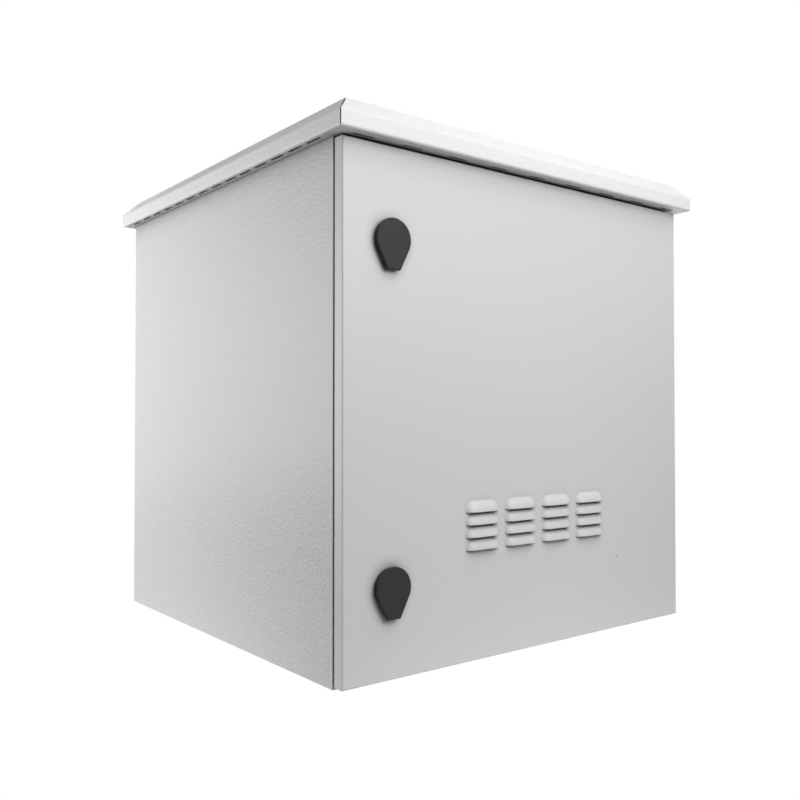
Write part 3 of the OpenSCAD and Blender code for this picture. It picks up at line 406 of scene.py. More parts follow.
@dataclass(frozen=True)
class Finish:
    """One material: a base tone with the relief and the variation of its kind.

    Attributes:
        name: the material's name.
        look: the kind of finish.
        slot: the record's material slot; not used.
        tone: the middle colour, linear.
        swing: how far the colour strays from the middle, as a share.
        rough: the least and the greatest roughness.
        coarse: size of the coarse relief or of the crystals, in metres.
        fine: size of the fine relief or of the streaks, in metres.
        relief: height of the relief, in metres.
        gloss: strength of the surface's reflection.
        foot: how many times stronger the relief is near the base plane.
        splash: the heights between which that fades, in metres.
        corner_shade: how strongly painted shade (ambient occlusion in the colour) darkens sheltered corners,
            as a power of their openness.
        dust_reach: how near the shelter has to be, in metres.
    """

    name: str
    look: Look
    slot: str
    tone: Colour
    swing: float
    rough: tuple[float, float]
    coarse: float
    fine: float
    relief: float
    gloss: float = 0.5
    foot: float = 1.0
    splash: tuple[float, float] = (0.12, 0.27)
    corner_shade: float = 0.0
    dust_reach: float = 14 * MM

    def material(self) -> bpy.types.Material:
        """Build the material, or find it if it is built.

        Returns:
            The material.
        """
        if self.name in bpy.data.materials:
            return bpy.data.materials[self.name]
        material = bpy.data.materials.new(self.name)
        material.use_nodes = True
        sheet = NodeSheet(material.node_tree)
        shader = material.node_tree.nodes["Principled BSDF"]
        place = sheet.add("ShaderNodeTexCoord").outputs["Object"]
        shader.inputs["Specular IOR Level"].default_value = self.gloss
        if self.look is Look.METAL:
            shader.inputs["Metallic"].default_value = 1.0
            share, height = self._crystals(sheet, place)
        else:
            share, height = self._grain(sheet, place)
        low = tuple(channel * (1 - self.swing) for channel in self.tone)
        high = tuple(min(1.0, channel * (1 + self.swing)) for channel in self.tone)
        colour = sheet.blend(share, low, high)
        # Painted shade: ambient occlusion darkens the colour in sheltered corners, in joints and under
        # overhangs.
        if self.corner_shade:
            colour = self._settle_dust(sheet, colour)
        sheet.join(colour, shader.inputs["Base Color"])
        sheet.join(sheet.spread(share, *self.rough), shader.inputs["Roughness"])
        bump = sheet.add("ShaderNodeBump")
        bump.inputs["Distance"].default_value = self.relief
        sheet.join(height, bump.inputs["Height"])
        sheet.join(bump.outputs["Normal"], shader.inputs["Normal"])
        return material

    def _grain(self, sheet: NodeSheet, place: Socket) -> tuple[Socket, Socket]:
        """Place the group for sprayed, moulded and foamed skins.

        Args:
            sheet: the material's node sheet.
            place: the surface's place.

        Returns:
            The share that varies the tone, and the relief's height.
        """
        grain = sheet.add("ShaderNodeGroup", node_tree=surface_grain())
        grain.inputs["Coarse size"].default_value = self.coarse
        grain.inputs["Fine size"].default_value = self.fine
        sheet.join(place, grain.inputs["Place"])
        if self.foot > 1:
            relief = self._deepen(sheet, place, grain.outputs["Height"])
            return sheet.math("ADD", relief, NOISE_MIDDLE), relief
        if self.look is not Look.FOAM:
            return grain.outputs["Patches"], grain.outputs["Height"]
        # The foam's colour follows the depth of its cells and is darker the deeper they go: painted shade in
        # the open cells.
        cells = sheet.add("ShaderNodeTexVoronoi")
        cells.inputs["Scale"].default_value = 1 / self.coarse
        sheet.join(place, cells.inputs["Vector"])
        depth = cells.outputs["Distance"]
        return depth, sheet.math("ADD", depth, grain.outputs["Height"])

    def _deepen(self, sheet: NodeSheet, place: Socket, height: Socket) -> Socket:
        """Make a relief stronger near the base plane.

        Args:
            sheet: the material's node sheet.
            place: the surface's place.
            height: the even relief.

        Returns:
            The socket that holds the deepened relief.
        """
        axes = sheet.add("ShaderNodeSeparateXYZ")
        sheet.join(place, axes.inputs[0])
        fade = sheet.add("ShaderNodeMapRange", interpolation_type="SMOOTHSTEP")
        fade.inputs["From Min"].default_value, fade.inputs["From Max"].default_value = self.splash
        fade.inputs["To Min"].default_value = self.foot
        sheet.join(axes.outputs["Z"], fade.inputs["Value"])
        return sheet.math("MULTIPLY", sheet.math("SUBTRACT", height, NOISE_MIDDLE), fade.outputs["Result"])

    def _settle_dust(self, sheet: NodeSheet, colour: Socket) -> Socket:
        """Place the group for painted shade, and darken a colour by it.

        Args:
            sheet: the material's node sheet.
            colour: the colour before the painted shade.

        Returns:
            The socket that holds the colour with its painted shade.
        """
        corner_shade = sheet.add("ShaderNodeGroup", node_tree=painted_corner_shade())
        corner_shade.inputs["Reach"].default_value = self.dust_reach
        corner_shade.inputs["Strength"].default_value = self.corner_shade
        shaded = sheet.add("ShaderNodeMix", data_type="RGBA", blend_type="MULTIPLY")
        shaded.inputs[0].default_value = 1.0
        sheet.join(colour, shaded.inputs[6])
        sheet.join(corner_shade.outputs["Cleanness"], shaded.inputs[7])
        return shaded.outputs[2]

    def _crystals(self, sheet: NodeSheet, place: Socket) -> tuple[Socket, Socket]:
        """Place the group for plated metal.

        Args:
            sheet: the material's node sheet.
            place: the surface's place.

        Returns:
            The share that varies the tone, and the relief's height.
        """
        crystal = sheet.add("ShaderNodeGroup", node_tree=crystal_tone())
        crystal.inputs["Crystal size"].default_value = self.coarse
        crystal.inputs["Streak size"].default_value = self.fine
        sheet.join(place, crystal.inputs["Place"])
        return crystal.outputs["Tone"], crystal.outputs["Polish"]

    def dress(self, piece: bpy.types.Object) -> None:
        """Give a piece this material alone."""
        piece.data.materials.clear()
        piece.data.materials.append(self.material())


# The coats darken their colour by ambient occlusion: painted shade in corners, in joints and under the roof's
# overhang.
WALL_COAT = Finish(
    "wall_coat", Look.COAT, "cabinet_paint", tone=(0.70, 0.70, 0.70), swing=0.045, rough=(0.40, 0.50),
    coarse=3.6 * MM, fine=1.2 * MM, relief=0.9 * MM, foot=2.6, corner_shade=1.6, dust_reach=35 * MM)
DOOR_COAT = Finish(
    "door_coat", Look.COAT, "cabinet_paint", tone=(0.70, 0.70, 0.70), swing=0.012, rough=(0.40, 0.48),
    coarse=3.6 * MM, fine=1.2 * MM, relief=0.1 * MM, corner_shade=0.8)
# The roof's coat is the same paint as the walls' but is set lighter: a painted highlight that brightens the
# whole roof.
ROOF_COAT = Finish(
    "roof_coat", Look.COAT, "cabinet_paint", tone=(0.84, 0.84, 0.84), swing=0.012, rough=(0.40, 0.48),
    coarse=3.6 * MM, fine=1.2 * MM, relief=0.8 * MM, corner_shade=0.7, dust_reach=40 * MM)
ZINC_SHEET = Finish(
    "zinc_sheet", Look.METAL, "zinc_plate", tone=(0.56, 0.57, 0.585), swing=0.10, rough=(0.30, 0.46),
    coarse=7 * MM, fine=2.5 * MM, relief=0.02 * MM)
ZINC_BRIGHT = Finish(
    "zinc_bright", Look.METAL, "zinc_plate", tone=(0.62, 0.63, 0.645), swing=0.06, rough=(0.22, 0.34),
    coarse=2 * MM, fine=0.8 * MM, relief=0.01 * MM)
BRASS = Finish(
    "bare_brass", Look.METAL, "earth_brass", tone=(0.66, 0.47, 0.20), swing=0.10, rough=(0.26, 0.42),
    coarse=4 * MM, fine=1.2 * MM, relief=0.01 * MM)
LOCK_BLACK = Finish(
    "lock_moulding", Look.MOULDED, "lock_black", tone=(0.042, 0.042, 0.043), swing=0.06, rough=(0.48, 0.58),
    coarse=0.9 * MM, fine=0.4 * MM, relief=0.04 * MM, gloss=0.2)
FAN_BLACK = Finish(
    "fan_moulding", Look.MOULDED, "fan_black", tone=(0.018, 0.018, 0.019), swing=0.10, rough=(0.36, 0.46),
    coarse=1.2 * MM, fine=0.5 * MM, relief=0.03 * MM)
RUBBER = Finish(
    "seal_rubber", Look.MOULDED, "black_rubber", tone=(0.022, 0.022, 0.022), swing=0.15, rough=(0.66, 0.80),
    coarse=1.6 * MM, fine=0.6 * MM, relief=0.1 * MM)
# The foam's wide swing is painted shade: its cell hollows are darker.
FILTER_FOAM = Finish(
    "filter_foam", Look.FOAM, "filter_foam", tone=(0.20, 0.205, 0.21), swing=0.45, rough=(0.85, 0.95),
    coarse=2.2 * MM, fine=0.8 * MM, relief=1.2 * MM)


# Meshes


def link(name: str, mesh: bpy.types.Mesh) -> bpy.types.Object:
    """Put a mesh into the scene as an object at the origin.

    Args:
        name: the object's name.
        mesh: its mesh.

    Returns:
        The object.
    """
    piece = bpy.data.objects.new(name, mesh)
    bpy.context.scene.collection.objects.link(piece)
    return piece


def bake_modifiers(piece: bpy.types.Object) -> None:
    """Turn an object's modifiers into plain mesh and remove them.

    Args:
        piece: the object, which then holds one material slot's faces.
    """
    graph = bpy.context.evaluated_depsgraph_get()
    mesh = bpy.data.meshes.new_from_object(piece.evaluated_get(graph), depsgraph=graph)
    piece.modifiers.clear()
    old = piece.data
    piece.data = mesh
    mesh.name = piece.name
    for face in mesh.polygons:
        face.material_index = 0
    bpy.data.meshes.remove(old)


def body_of(node: str) -> str:
    """Find the body that a CAD node belongs to."""
    return next(body for body, nodes in frame["record"]["behaviour"]["bodies"].items() if node in nodes)


def settle(piece: bpy.types.Object, finish: Finish, *nodes: str) -> bpy.types.Object:
    """Dress a finished piece and let it stand for its CAD nodes.

    Args:
        piece: the piece, at the origin.
        finish: its finish.
        nodes: the CAD nodes that it replaces, all on one body.

    Returns:
        The same piece.
    """
    finish.dress(piece)
    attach(piece, body_of(nodes[0]))
    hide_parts(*nodes)
    LOG.info("%s: %d faces, for %s", piece.name, len(piece.data.polygons), ", ".join(nodes))
    return piece


def soft_copy(node: str, finish: Finish, width: float, segments: int = 2) -> bpy.types.Object:
    """Copy a CAD node with its sharp edges rounded, as folding, moulding and coating leave them.

    Args:
        node: the CAD node.
        finish: the copy's finish.
        width: how far the rounding reaches from an edge, in metres.
        segments: faces across the rounding.

    Returns:
        The copy, which stands for the node.
    """
    work = bmesh.new()
    work.from_mesh(frame["nodes"][node].data)
    bmesh.ops.remove_doubles(work, verts=work.verts, dist=MERGE)
    bmesh.ops.dissolve_limit(work, angle_limit=FLAT_ANGLE, verts=work.verts, edges=work.edges)
    mesh = bpy.data.meshes.new(node + "_soft")
    work.to_mesh(mesh)
    work.free()
    piece = link(node + "_soft", mesh)
    bevel = piece.modifiers.new("round", "BEVEL")
    bevel.width = width
    bevel.segments = segments
    bevel.limit_method = "ANGLE"
    bevel.angle_limit = SHARP_ANGLE
    bevel.use_clamp_overlap = False
    weights = piece.modifiers.new("flats", "WEIGHTED_NORMAL")
    weights.keep_sharp = True
    for face in mesh.polygons:
        face.use_smooth = True
    bake_modifiers(piece)
    return settle(piece, finish, node)


def run_tree(piece: bpy.types.Object, tree: bpy.types.NodeTree, **values: object) -> None:
    """Run a geometry tree on a piece and keep its result as plain mesh.

    Args:
        piece: the piece, whose mesh goes in.
        tree: the tree.
        values: the tree's inputs by name, with underscores for spaces.
    """
    modifier = piece.modifiers.new(tree.name, "NODES")
    modifier.node_group = tree
    for item in tree.interface.items_tree:
        key = item.name.replace(" ", "_").lower()
        if item.in_out == "INPUT" and key in values:
            modifier[item.identifier] = values[key]
    bake_modifiers(piece)


@dataclass(frozen=True)
class Spot:
    """The box of one separate solid of a CAD node.

    Attributes:
        low: its lowest corner.
        high: its highest corner.
    """

    low: Vector
    high: Vector

    def middle(self) -> Vector:
        """Find the middle of the box."""
        return (self.low + self.high) / 2

    def end(self, aim: Vector) -> Vector:
        """Find the middle of the box's face that looks along an axis."""
        return self.middle() + aim * (abs(aim.dot(self.high - self.low)) / 2)


def solids_of(node: str) -> list[Spot]:
    """Find the separate solids of a CAD node.

    Args:
        node: the CAD node.

    Returns:
        Their boxes, in order along X, Y and Z.
    """
    work = bmesh.new()
    work.from_mesh(frame["nodes"][node].data)
    bmesh.ops.remove_doubles(work, verts=work.verts, dist=MERGE)
    left, spots = set(work.verts), []
    while left:
        open_verts, island = [left.pop()], []
        while open_verts:
            vert = open_verts.pop()
            island.append(vert.co.copy())
            near = {edge.other_vert(vert) for edge in vert.link_edges} & left
            left -= near
            open_verts.extend(near)
        spots.append(Spot(Vector(map(min, zip(*island))), Vector(map(max, zip(*island)))))
    work.free()
    return sorted(spots, key=lambda spot: tuple(round(value, 5) for value in spot.low))


def round_ring(radius: float, height: float, sides: int = 48) -> Ring:
    """Draw a circle of points about Z at a height."""
    turns = (math.tau * i / sides for i in range(sides))
    return [(radius * math.cos(turn), radius * math.sin(turn), height) for turn in turns]


def hex_ring(across: float, height: float, slope: float = 0.0, sides: int = 48) -> Ring:
    """Draw a hexagon of points about Z, whose corners may bend away as a chamfer leaves them.

    Args:
        across: the diameter over its corners.
        height: the height of the ring at the middle of its flats.
        slope: the drop per length outside the flats' circle.
        sides: how many points.

    Returns:
        The points.
    """
    flat = across / 2 * HEX_FLAT
    points = []
    for i in range(sides):
        turn = math.tau * i / sides
        radius = flat / math.cos(turn % (math.pi / 3) - math.pi / 6)
        points.append((radius * math.cos(turn), radius * math.sin(turn), height - slope * (radius - flat)))
    return points


def skin(name: str, rings: Sequence[Ring], loop: bool = False) -> bpy.types.Mesh:
    """Join rings of points into a closed skin.

    Args:
        name: the mesh's name.
        rings: the rings in order, with the same number of points.
        loop: whether the last ring joins the first, or both are capped.

    Returns:
        The mesh, with sharp edges kept and the rest smooth.
    """
    work = bmesh.new()
    rows = [[work.verts.new(point) for point in ring] for ring in rings]
    pairs = list(zip(rows, rows[1:] + rows[:1])) if loop else list(zip(rows, rows[1:]))
    for low, high in pairs:
        for i in range(len(low)):
            work.faces.new((low[i - 1], low[i], high[i], high[i - 1]))
    if not loop:
        work.faces.new(rows[0])
        work.faces.new(rows[-1])
    bmesh.ops.recalc_face_normals(work, faces=work.faces)
    mesh = bpy.data.meshes.new(name)
    work.to_mesh(mesh)
    work.free()
    smooth(mesh)
    return mesh


def smooth(mesh: bpy.types.Mesh) -> None:
    """Shade a mesh smooth, apart from its sharp edges.

    Args:
        mesh: the mesh.
    """
    for face in mesh.polygons:
        face.use_smooth = True
    mesh.set_sharp_from_angle(angle=SHARP_ANGLE)


def row(name: str, template: bpy.types.Mesh, places: Sequence[tuple[Vector, Vector]], finish: Finish,
        turn: float = 0.0, seed: int = 1) -> bpy.types.Object:
    """Set copies of a template in place.

    Args:
        name: the new piece's name.
        template: the mesh to copy, which faces up at the origin.
        places: each copy's place and the way that it faces.
        finish: the copies' finish.
        turn: the greatest chance turn about the facing axis.
        seed: the seed of that turn.

    Returns:
        One piece that holds all copies.
    """
    pattern = link(name + "_pattern", template)
    points = bpy.data.meshes.new(name)
    points.from_pydata([place for place, _ in places], [], [])
    aims = points.attributes.new("aim", "FLOAT_VECTOR", "POINT")
    aims.data.foreach_set("vector", [value for _, aim in places for value in aim])
    piece = link(name, points)
    run_tree(piece, fitting_row(), template=pattern, greatest_turn=turn, seed=seed, finish=finish.material())
    bpy.data.objects.remove(pattern)
    bpy.data.meshes.remove(template)
    return piece


class Head(Enum):
    """The kinds of fastener head."""

    PAN = "pan head with a cross recess"
    HEX = "hexagon head"
    NUT = "hexagon nut"


@dataclass(frozen=True)
class Fastener:
    """One kind of screw, bolt or nut, drawn head up with its seat at height zero.

    Attributes:
        head: the kind of head.
        head_d: the head's diameter, over its corners if it has any.
        head_t: the head's height.
        shank_d: the shank's diameter, or a nut's bore.
        nut_d: the diameter of a nut at the shank's end, over its corners if it has any, or zero.
        nut_t: that nut's height.
        nut_round: whether that nut is a round press nut.
        seed: seed of the chance turns of its copies.
        slope: fall of a hexagon's chamfered corners, outside the circle of its flats.
        crown: radius of a hexagon's level end, as a share of that circle's.
        head_lip: depth of a hexagon head's chamfer at its flats, as a share of its height.
        nut_lip: the same for a nut, or the chamfer of a round nut as a share of its diameter.
        tip: chamfer of a bare shank's end, as a share of the shank's diameter.
        stub: radius of a shank's end in its nut, as a share of the shank's.
        pan_edge: inset and height of a pan head's lower edge, as shares of its radius and height.
        dome_top: radius of a pan head's level top, as a share of the head's.
        dome_foot: height at which its dome starts, as a share of the head's.
        dome_steps: rings that draw the dome.
        cross: length and width of a cross recess, as shares of the head's diameter.
        cross_depth: twice the depth of the recess, as a share of the head's height.
        cross_taper: size of the recess at its floor, as a share of its mouth.
    """

    head: Head
    head_d: float
    head_t: float
    shank_d: float
    nut_d: float = 0.0
    nut_t: float = 0.0
    nut_round: bool = False
    seed: int = 1
    slope: float = math.tan(math.radians(30))
    crown: float = 0.97
    head_lip: float = 0.06
    nut_lip: float = 0.05
    tip: float = 0.12
    stub: float = 0.86
    pan_edge: tuple[float, float] = (0.04, 0.08)
    dome_top: float = 0.62
    dome_foot: float = 0.45
    dome_steps: int = 6
    cross: tuple[float, float] = (0.58, 0.13)
    cross_depth: float = 1.1
    cross_taper: float = 0.6

    def place(self, node: str, aim: Vector, finish: Finish, inward: bool = False) -> bpy.types.Object:
        """Set these fasteners where a CAD node has its solids.

        Args:
            node: the CAD node that they stand for.
            aim: the way that the heads face.
            finish: their finish.
            inward: whether the heads of the left half face the other way.

        Returns:
            The piece.
        """
        spots = solids_of(node)
        ways = [-aim if inward and spot.middle().x < 0 else aim for spot in spots]
        seats = [spot.end(way) - way * self.head_t for spot, way in zip(spots, ways)]
        reach = abs(aim.dot(spots[0].high - spots[0].low)) - self.head_t
        piece = row(node + "_set", self._template(reach), list(zip(seats, ways)), finish, math.tau, self.seed)
        return settle(piece, finish, node)

    def _template(self, reach: float) -> bpy.types.Mesh:
        """Draw one fastener.

        Args:
            reach: how far its shank reaches below its seat.

        Returns:
            The mesh.
        """
        if self.head is Head.NUT:
            return self._nut()
        shank, tip = self.shank_d / 2, self.tip * self.shank_d
        if self.nut_d:
            foot = [round_ring(self.stub * shank, -reach), *self._end_nut(-reach),
                    round_ring(shank, self.nut_t - reach)]
        else:
            foot = [round_ring(shank - tip, -reach), round_ring(shank, tip - reach)]
        foot.append(round_ring(shank, 0.0))
        if self.head is Head.HEX:
            lip, flat = self.head_lip * self.head_t, self.head_d / 2 * HEX_FLAT
            top = [hex_ring(self.head_d, 0.0), hex_ring(self.head_d, self.head_t - lip, self.slope),
                   round_ring(self.crown * flat, self.head_t)]
            return skin("hex_bolt", foot + top)
        return self._recess(skin("pan_screw", foot + self._pan()))

    def _pan(self) -> list[Ring]:
        """Draw a pan head.

        Returns:
            The rings of the head, from its seat up.
        """
        wide, (inset, lift) = self.head_d / 2, self.pan_edge
        rings = [round_ring(wide - inset * wide, 0.0), round_ring(wide, lift * self.head_t)]
        for i in range(self.dome_steps):
            turn = math.pi / 2 * i / self.dome_steps
            rings.append(round_ring(wide * (self.dome_top + (1 - self.dome_top) * math.cos(turn)),
                                    self.head_t * (self.dome_foot + (1 - self.dome_foot) * math.sin(turn))))
        return rings

    def _end_nut(self, foot: float) -> list[Ring]:
        """Draw the nut at the shank's end.

        Args:
            foot: the height of the shank's end.

        Returns:
            The rings of the nut, from its foot up.
        """
        wide, top = self.nut_d / 2, foot + self.nut_t
        if self.nut_round:
            edge = self.nut_lip * self.nut_d
            return [round_ring(wide - edge, foot), round_ring(wide, foot + edge),
                    round_ring(wide, top - edge), round_ring(wide - edge, top)]
        lip, crown = self.nut_lip * self.nut_t, self.crown * wide * HEX_FLAT
        return [round_ring(crown, foot), hex_ring(self.nut_d, foot + lip, -self.slope),
                hex_ring(self.nut_d, top - lip, self.slope), round_ring(crown, top)]

    def _recess(self, mesh: bpy.types.Mesh) -> bpy.types.Mesh:
        """Cut a cross recess into a screw's head.

        Args:
            mesh: the whole screw.

        Returns:
            The mesh with its recess.
        """
        work = bmesh.new()
        length, width = (share * self.head_d for share in self.cross)
        size = Matrix.Diagonal((length, width, self.cross_depth * self.head_t, 1.0))
        for turn in (0.0, math.pi / 2):
            grip = Matrix.Rotation(turn, 4, "Z") @ Matrix.Translation((0, 0, self.head_t))
            bmesh.ops.create_cube(work, size=1.0, matrix=grip @ size)
        for vert in work.verts:
            if vert.co.z < self.head_t:
                vert.co.x *= self.cross_taper
                vert.co.y *= self.cross_taper
        cutter = bpy.data.meshes.new("cross")
        work.to_mesh(cutter)
        work.free()
        screw, cross = link("screw", mesh), link("cross", cutter)
        cut = screw.modifiers.new("recess", "BOOLEAN")
        cut.object, cut.operation, cut.solver, cut.use_self = cross, "DIFFERENCE", "EXACT", True
        bake_modifiers(screw)
        result = screw.data
        bpy.data.objects.remove(screw)
        bpy.data.objects.remove(cross)
        smooth(result)
        return result

    def _nut(self) -> bpy.types.Mesh:
        """Draw a hexagon nut with chamfered corners and a bore.

        Returns:
            The mesh.
        """
        edge, bore = self.nut_lip * self.head_t, self.shank_d / 2
        crown = self.crown * self.head_d / 2 * HEX_FLAT
        return skin("nut", [
            round_ring(bore, edge), round_ring(bore + edge, 0.0), round_ring(crown, 0.0),
            hex_ring(self.head_d, edge, -self.slope), hex_ring(self.head_d, self.head_t - edge, self.slope),
            round_ring(crown, self.head_t), round_ring(bore + edge, self.head_t),
            round_ring(bore, self.head_t - edge)], loop=True)


# Sub-assemblies


@dataclass
class Shell:
    """The folded sheets of the body, roof and wall rails.

    Attributes:
        edge: rounding of the sheets' cut edges.
        roof_edge: rounding of the roof's, which is folded tighter.
    """

    edge: float = 0.35 * MM
    roof_edge: float = 0.35 / 3 * MM

    def build(self) -> None:
        """Round and dress every sheet of the shell."""
        soft_copy("body_wrap", WALL_COAT, self.edge)
        soft_copy("base_panel", WALL_COAT, self.edge)
        soft_copy("top_panel", WALL_COAT, self.edge)
        soft_copy("roof_canopy", ROOF_COAT, self.roof_edge)
        for level in ("upper", "lower"):
            soft_copy(f"wall_rail_{level}", WALL_COAT, self.edge)


@dataclass
class Rack:
    """The side channels and the drilled rails.

    Attributes:
        edge: rounding of the rails' edges.
    """

    edge: float = 0.3 * MM

    def build(self) -> None:
        """Round and dress the channels and rails."""
        for side in ("left", "right"):
            for level in ("upper", "lower"):
                soft_copy(f"side_channel_{level}_{side}", ZINC_SHEET, self.edge)
            for end in ("front", "rear"):
                soft_copy(f"{end}_rail_{side}", ZINC_SHEET, self.edge)


@dataclass
class Door:
    """The louvred door with what is fixed inside it.

    Attributes:
        edge: rounding of the cut edges.
        seal_corner: radius of the sealing strip's corners.
        corner_steps: points that draw such a corner.
        seal_round: rounding of the strip's shoulders.
        seal_steps: faces across that rounding.
        foam_grid: width of the foam's mesh cells.
        foam_cell: size of the foam's open cells.
        foam_depth: depth of those cells.
        weld_d: diameter of a spot weld.
        weld_pitch: spacing of the welds along a stiffener.
        weld_in: distance of the welds from a stiffener's side.
        weld_sides: points round a weld.
        weld_shares: outline of a weld as shares of its radius: each ring's radius and height.
        foot_t: thickness of a stiffener's foot.
    """

    edge: float = 0.3 * MM
    seal_corner: float = 9.0 * MM
    corner_steps: int = 10
    seal_round: float = 2.6 * MM
    seal_steps: int = 6
    foam_grid: float = 1.5 * MM
    foam_cell: float = 4.0 * MM
    foam_depth: float = 0.9 * MM
    weld_d: float = 5.0 * MM
    weld_pitch: float = 50.0 * MM
    weld_in: float = 4.0 * MM
    weld_sides: int = 24
    weld_shares: tuple[tuple[float, float], ...] = (
        (1.0, -0.02), (1.0, 0.0), (0.86, 0.07), (0.72, 0.07), (0.55, 0.02), (0.2, 0.02))
    foot_t: float = 1.2 * MM

    def build(self) -> None:
        """Round and dress the door's pieces."""
        soft_copy("door_panel", DOOR_COAT, self.edge)
        for side in ("left", "right"):
            soft_copy(f"door_stiffener_{side}", DOOR_COAT, self.edge)
            self._welds(f"door_stiffener_{side}")
        soft_copy("filter_frame", ZINC_SHEET, self.edge)
        soft_copy("door_earth_nut", BRASS, self.edge)
        self._seal()
        self._foam()

    def _seal(self) -> None:
        """Sweep the sealing strip round the door, with round shoulders and corners."""
        low, high = (Vector(corner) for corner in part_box("door_seal"))
        inner = max(vert.co.x for vert in frame["nodes"]["door_seal"].data.vertices
                    if vert.co.x < high.x - MERGE)
        wide, tall, shoulder = high.x - inner, high.y - low.y, self.seal_round
        outline = [(-wide / 2, 0.0), (wide / 2, 0.0)]
        for side, start in ((1, 0), (-1, 90)):
            for i in range(self.seal_steps + 1):
                turn = math.radians(start + 90 * i / self.seal_steps)
                outline.append((side * (wide / 2 - shoulder) + shoulder * math.cos(turn),
                                tall - shoulder + shoulder * math.sin(turn)))
        mesh = bpy.data.meshes.new("seal")
        count = len(outline)
        mesh.from_pydata([(x, y, 0.0) for x, y in outline], [(i, (i + 1) % count) for i in range(count)], [])
        piece = link("door_seal_strip", mesh)
        run_tree(piece, strip_sweep(), width=high.x - low.x - wide, height=high.z - low.z - wide,
                 corner_radius=self.seal_corner, corner_steps=self.corner_steps, finish=RUBBER.material())
        lift = Matrix.Translation(((low.x + high.x) / 2, low.y, (low.z + high.z) / 2))
        piece.data.transform(lift @ Matrix.Rotation(math.radians(90), 4, "X"))
        smooth(piece.data)
        settle(piece, RUBBER, "door_seal")

    def _foam(self) -> None:
        """Make the filter mat as a slab of open foam."""
        low, high = (Vector(corner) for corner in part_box("filter_mat"))
        size = high - low
        counts = [max(2, round(length / self.foam_grid)) for length in size]
        work = bmesh.new()
        bmesh.ops.create_cube(work, size=1.0)
        for axis, count in enumerate(counts):
            along = [edge for edge in work.edges
                     if edge.verts[0].co[axis] * edge.verts[1].co[axis] < 0]
            bmesh.ops.subdivide_edges(work, edges=along, cuts=count - 1, use_grid_fill=True)
        bmesh.ops.transform(work, verts=work.verts, matrix=Matrix.Translation((low + high) / 2)
                            @ Matrix.Diagonal((*size, 1.0)))
        mesh = bpy.data.meshes.new("foam")
        work.to_mesh(mesh)
        work.free()
        piece = link("filter_mat_foam", mesh)
        run_tree(piece, foam_skin(), cell_size=self.foam_cell, depth=self.foam_depth,
                 finish=FILTER_FOAM.material())
        smooth(piece.data)
        settle(piece, FILTER_FOAM, "filter_mat")

    def _welds(self, node: str) -> None:
        """Mark the spot welds along both feet of a stiffener.

        Args:
            node: the stiffener's CAD node.
        """
        low, high = (Vector(corner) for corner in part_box(node))
        level, radius = low.y + self.foot_t, self.weld_d / 2
        count = round((high.z - low.z) / self.weld_pitch)
        step = (high.z - low.z) / count
        places = [(Vector((x, level, low.z + (i + 0.5) * step)), Vector((0.0, 1.0, 0.0)))
                  for x in (low.x + self.weld_in, high.x - self.weld_in) for i in range(count)]
        mark = skin("weld", [round_ring(wide * radius, rise * radius, self.weld_sides)
                             for wide, rise in self.weld_shares])
        piece = row(node + "_welds", mark, places, DOOR_COAT)
        DOOR_COAT.dress(piece)
        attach(piece, body_of(node))
        LOG.info("%s: %d spot welds", piece.name, len(places))


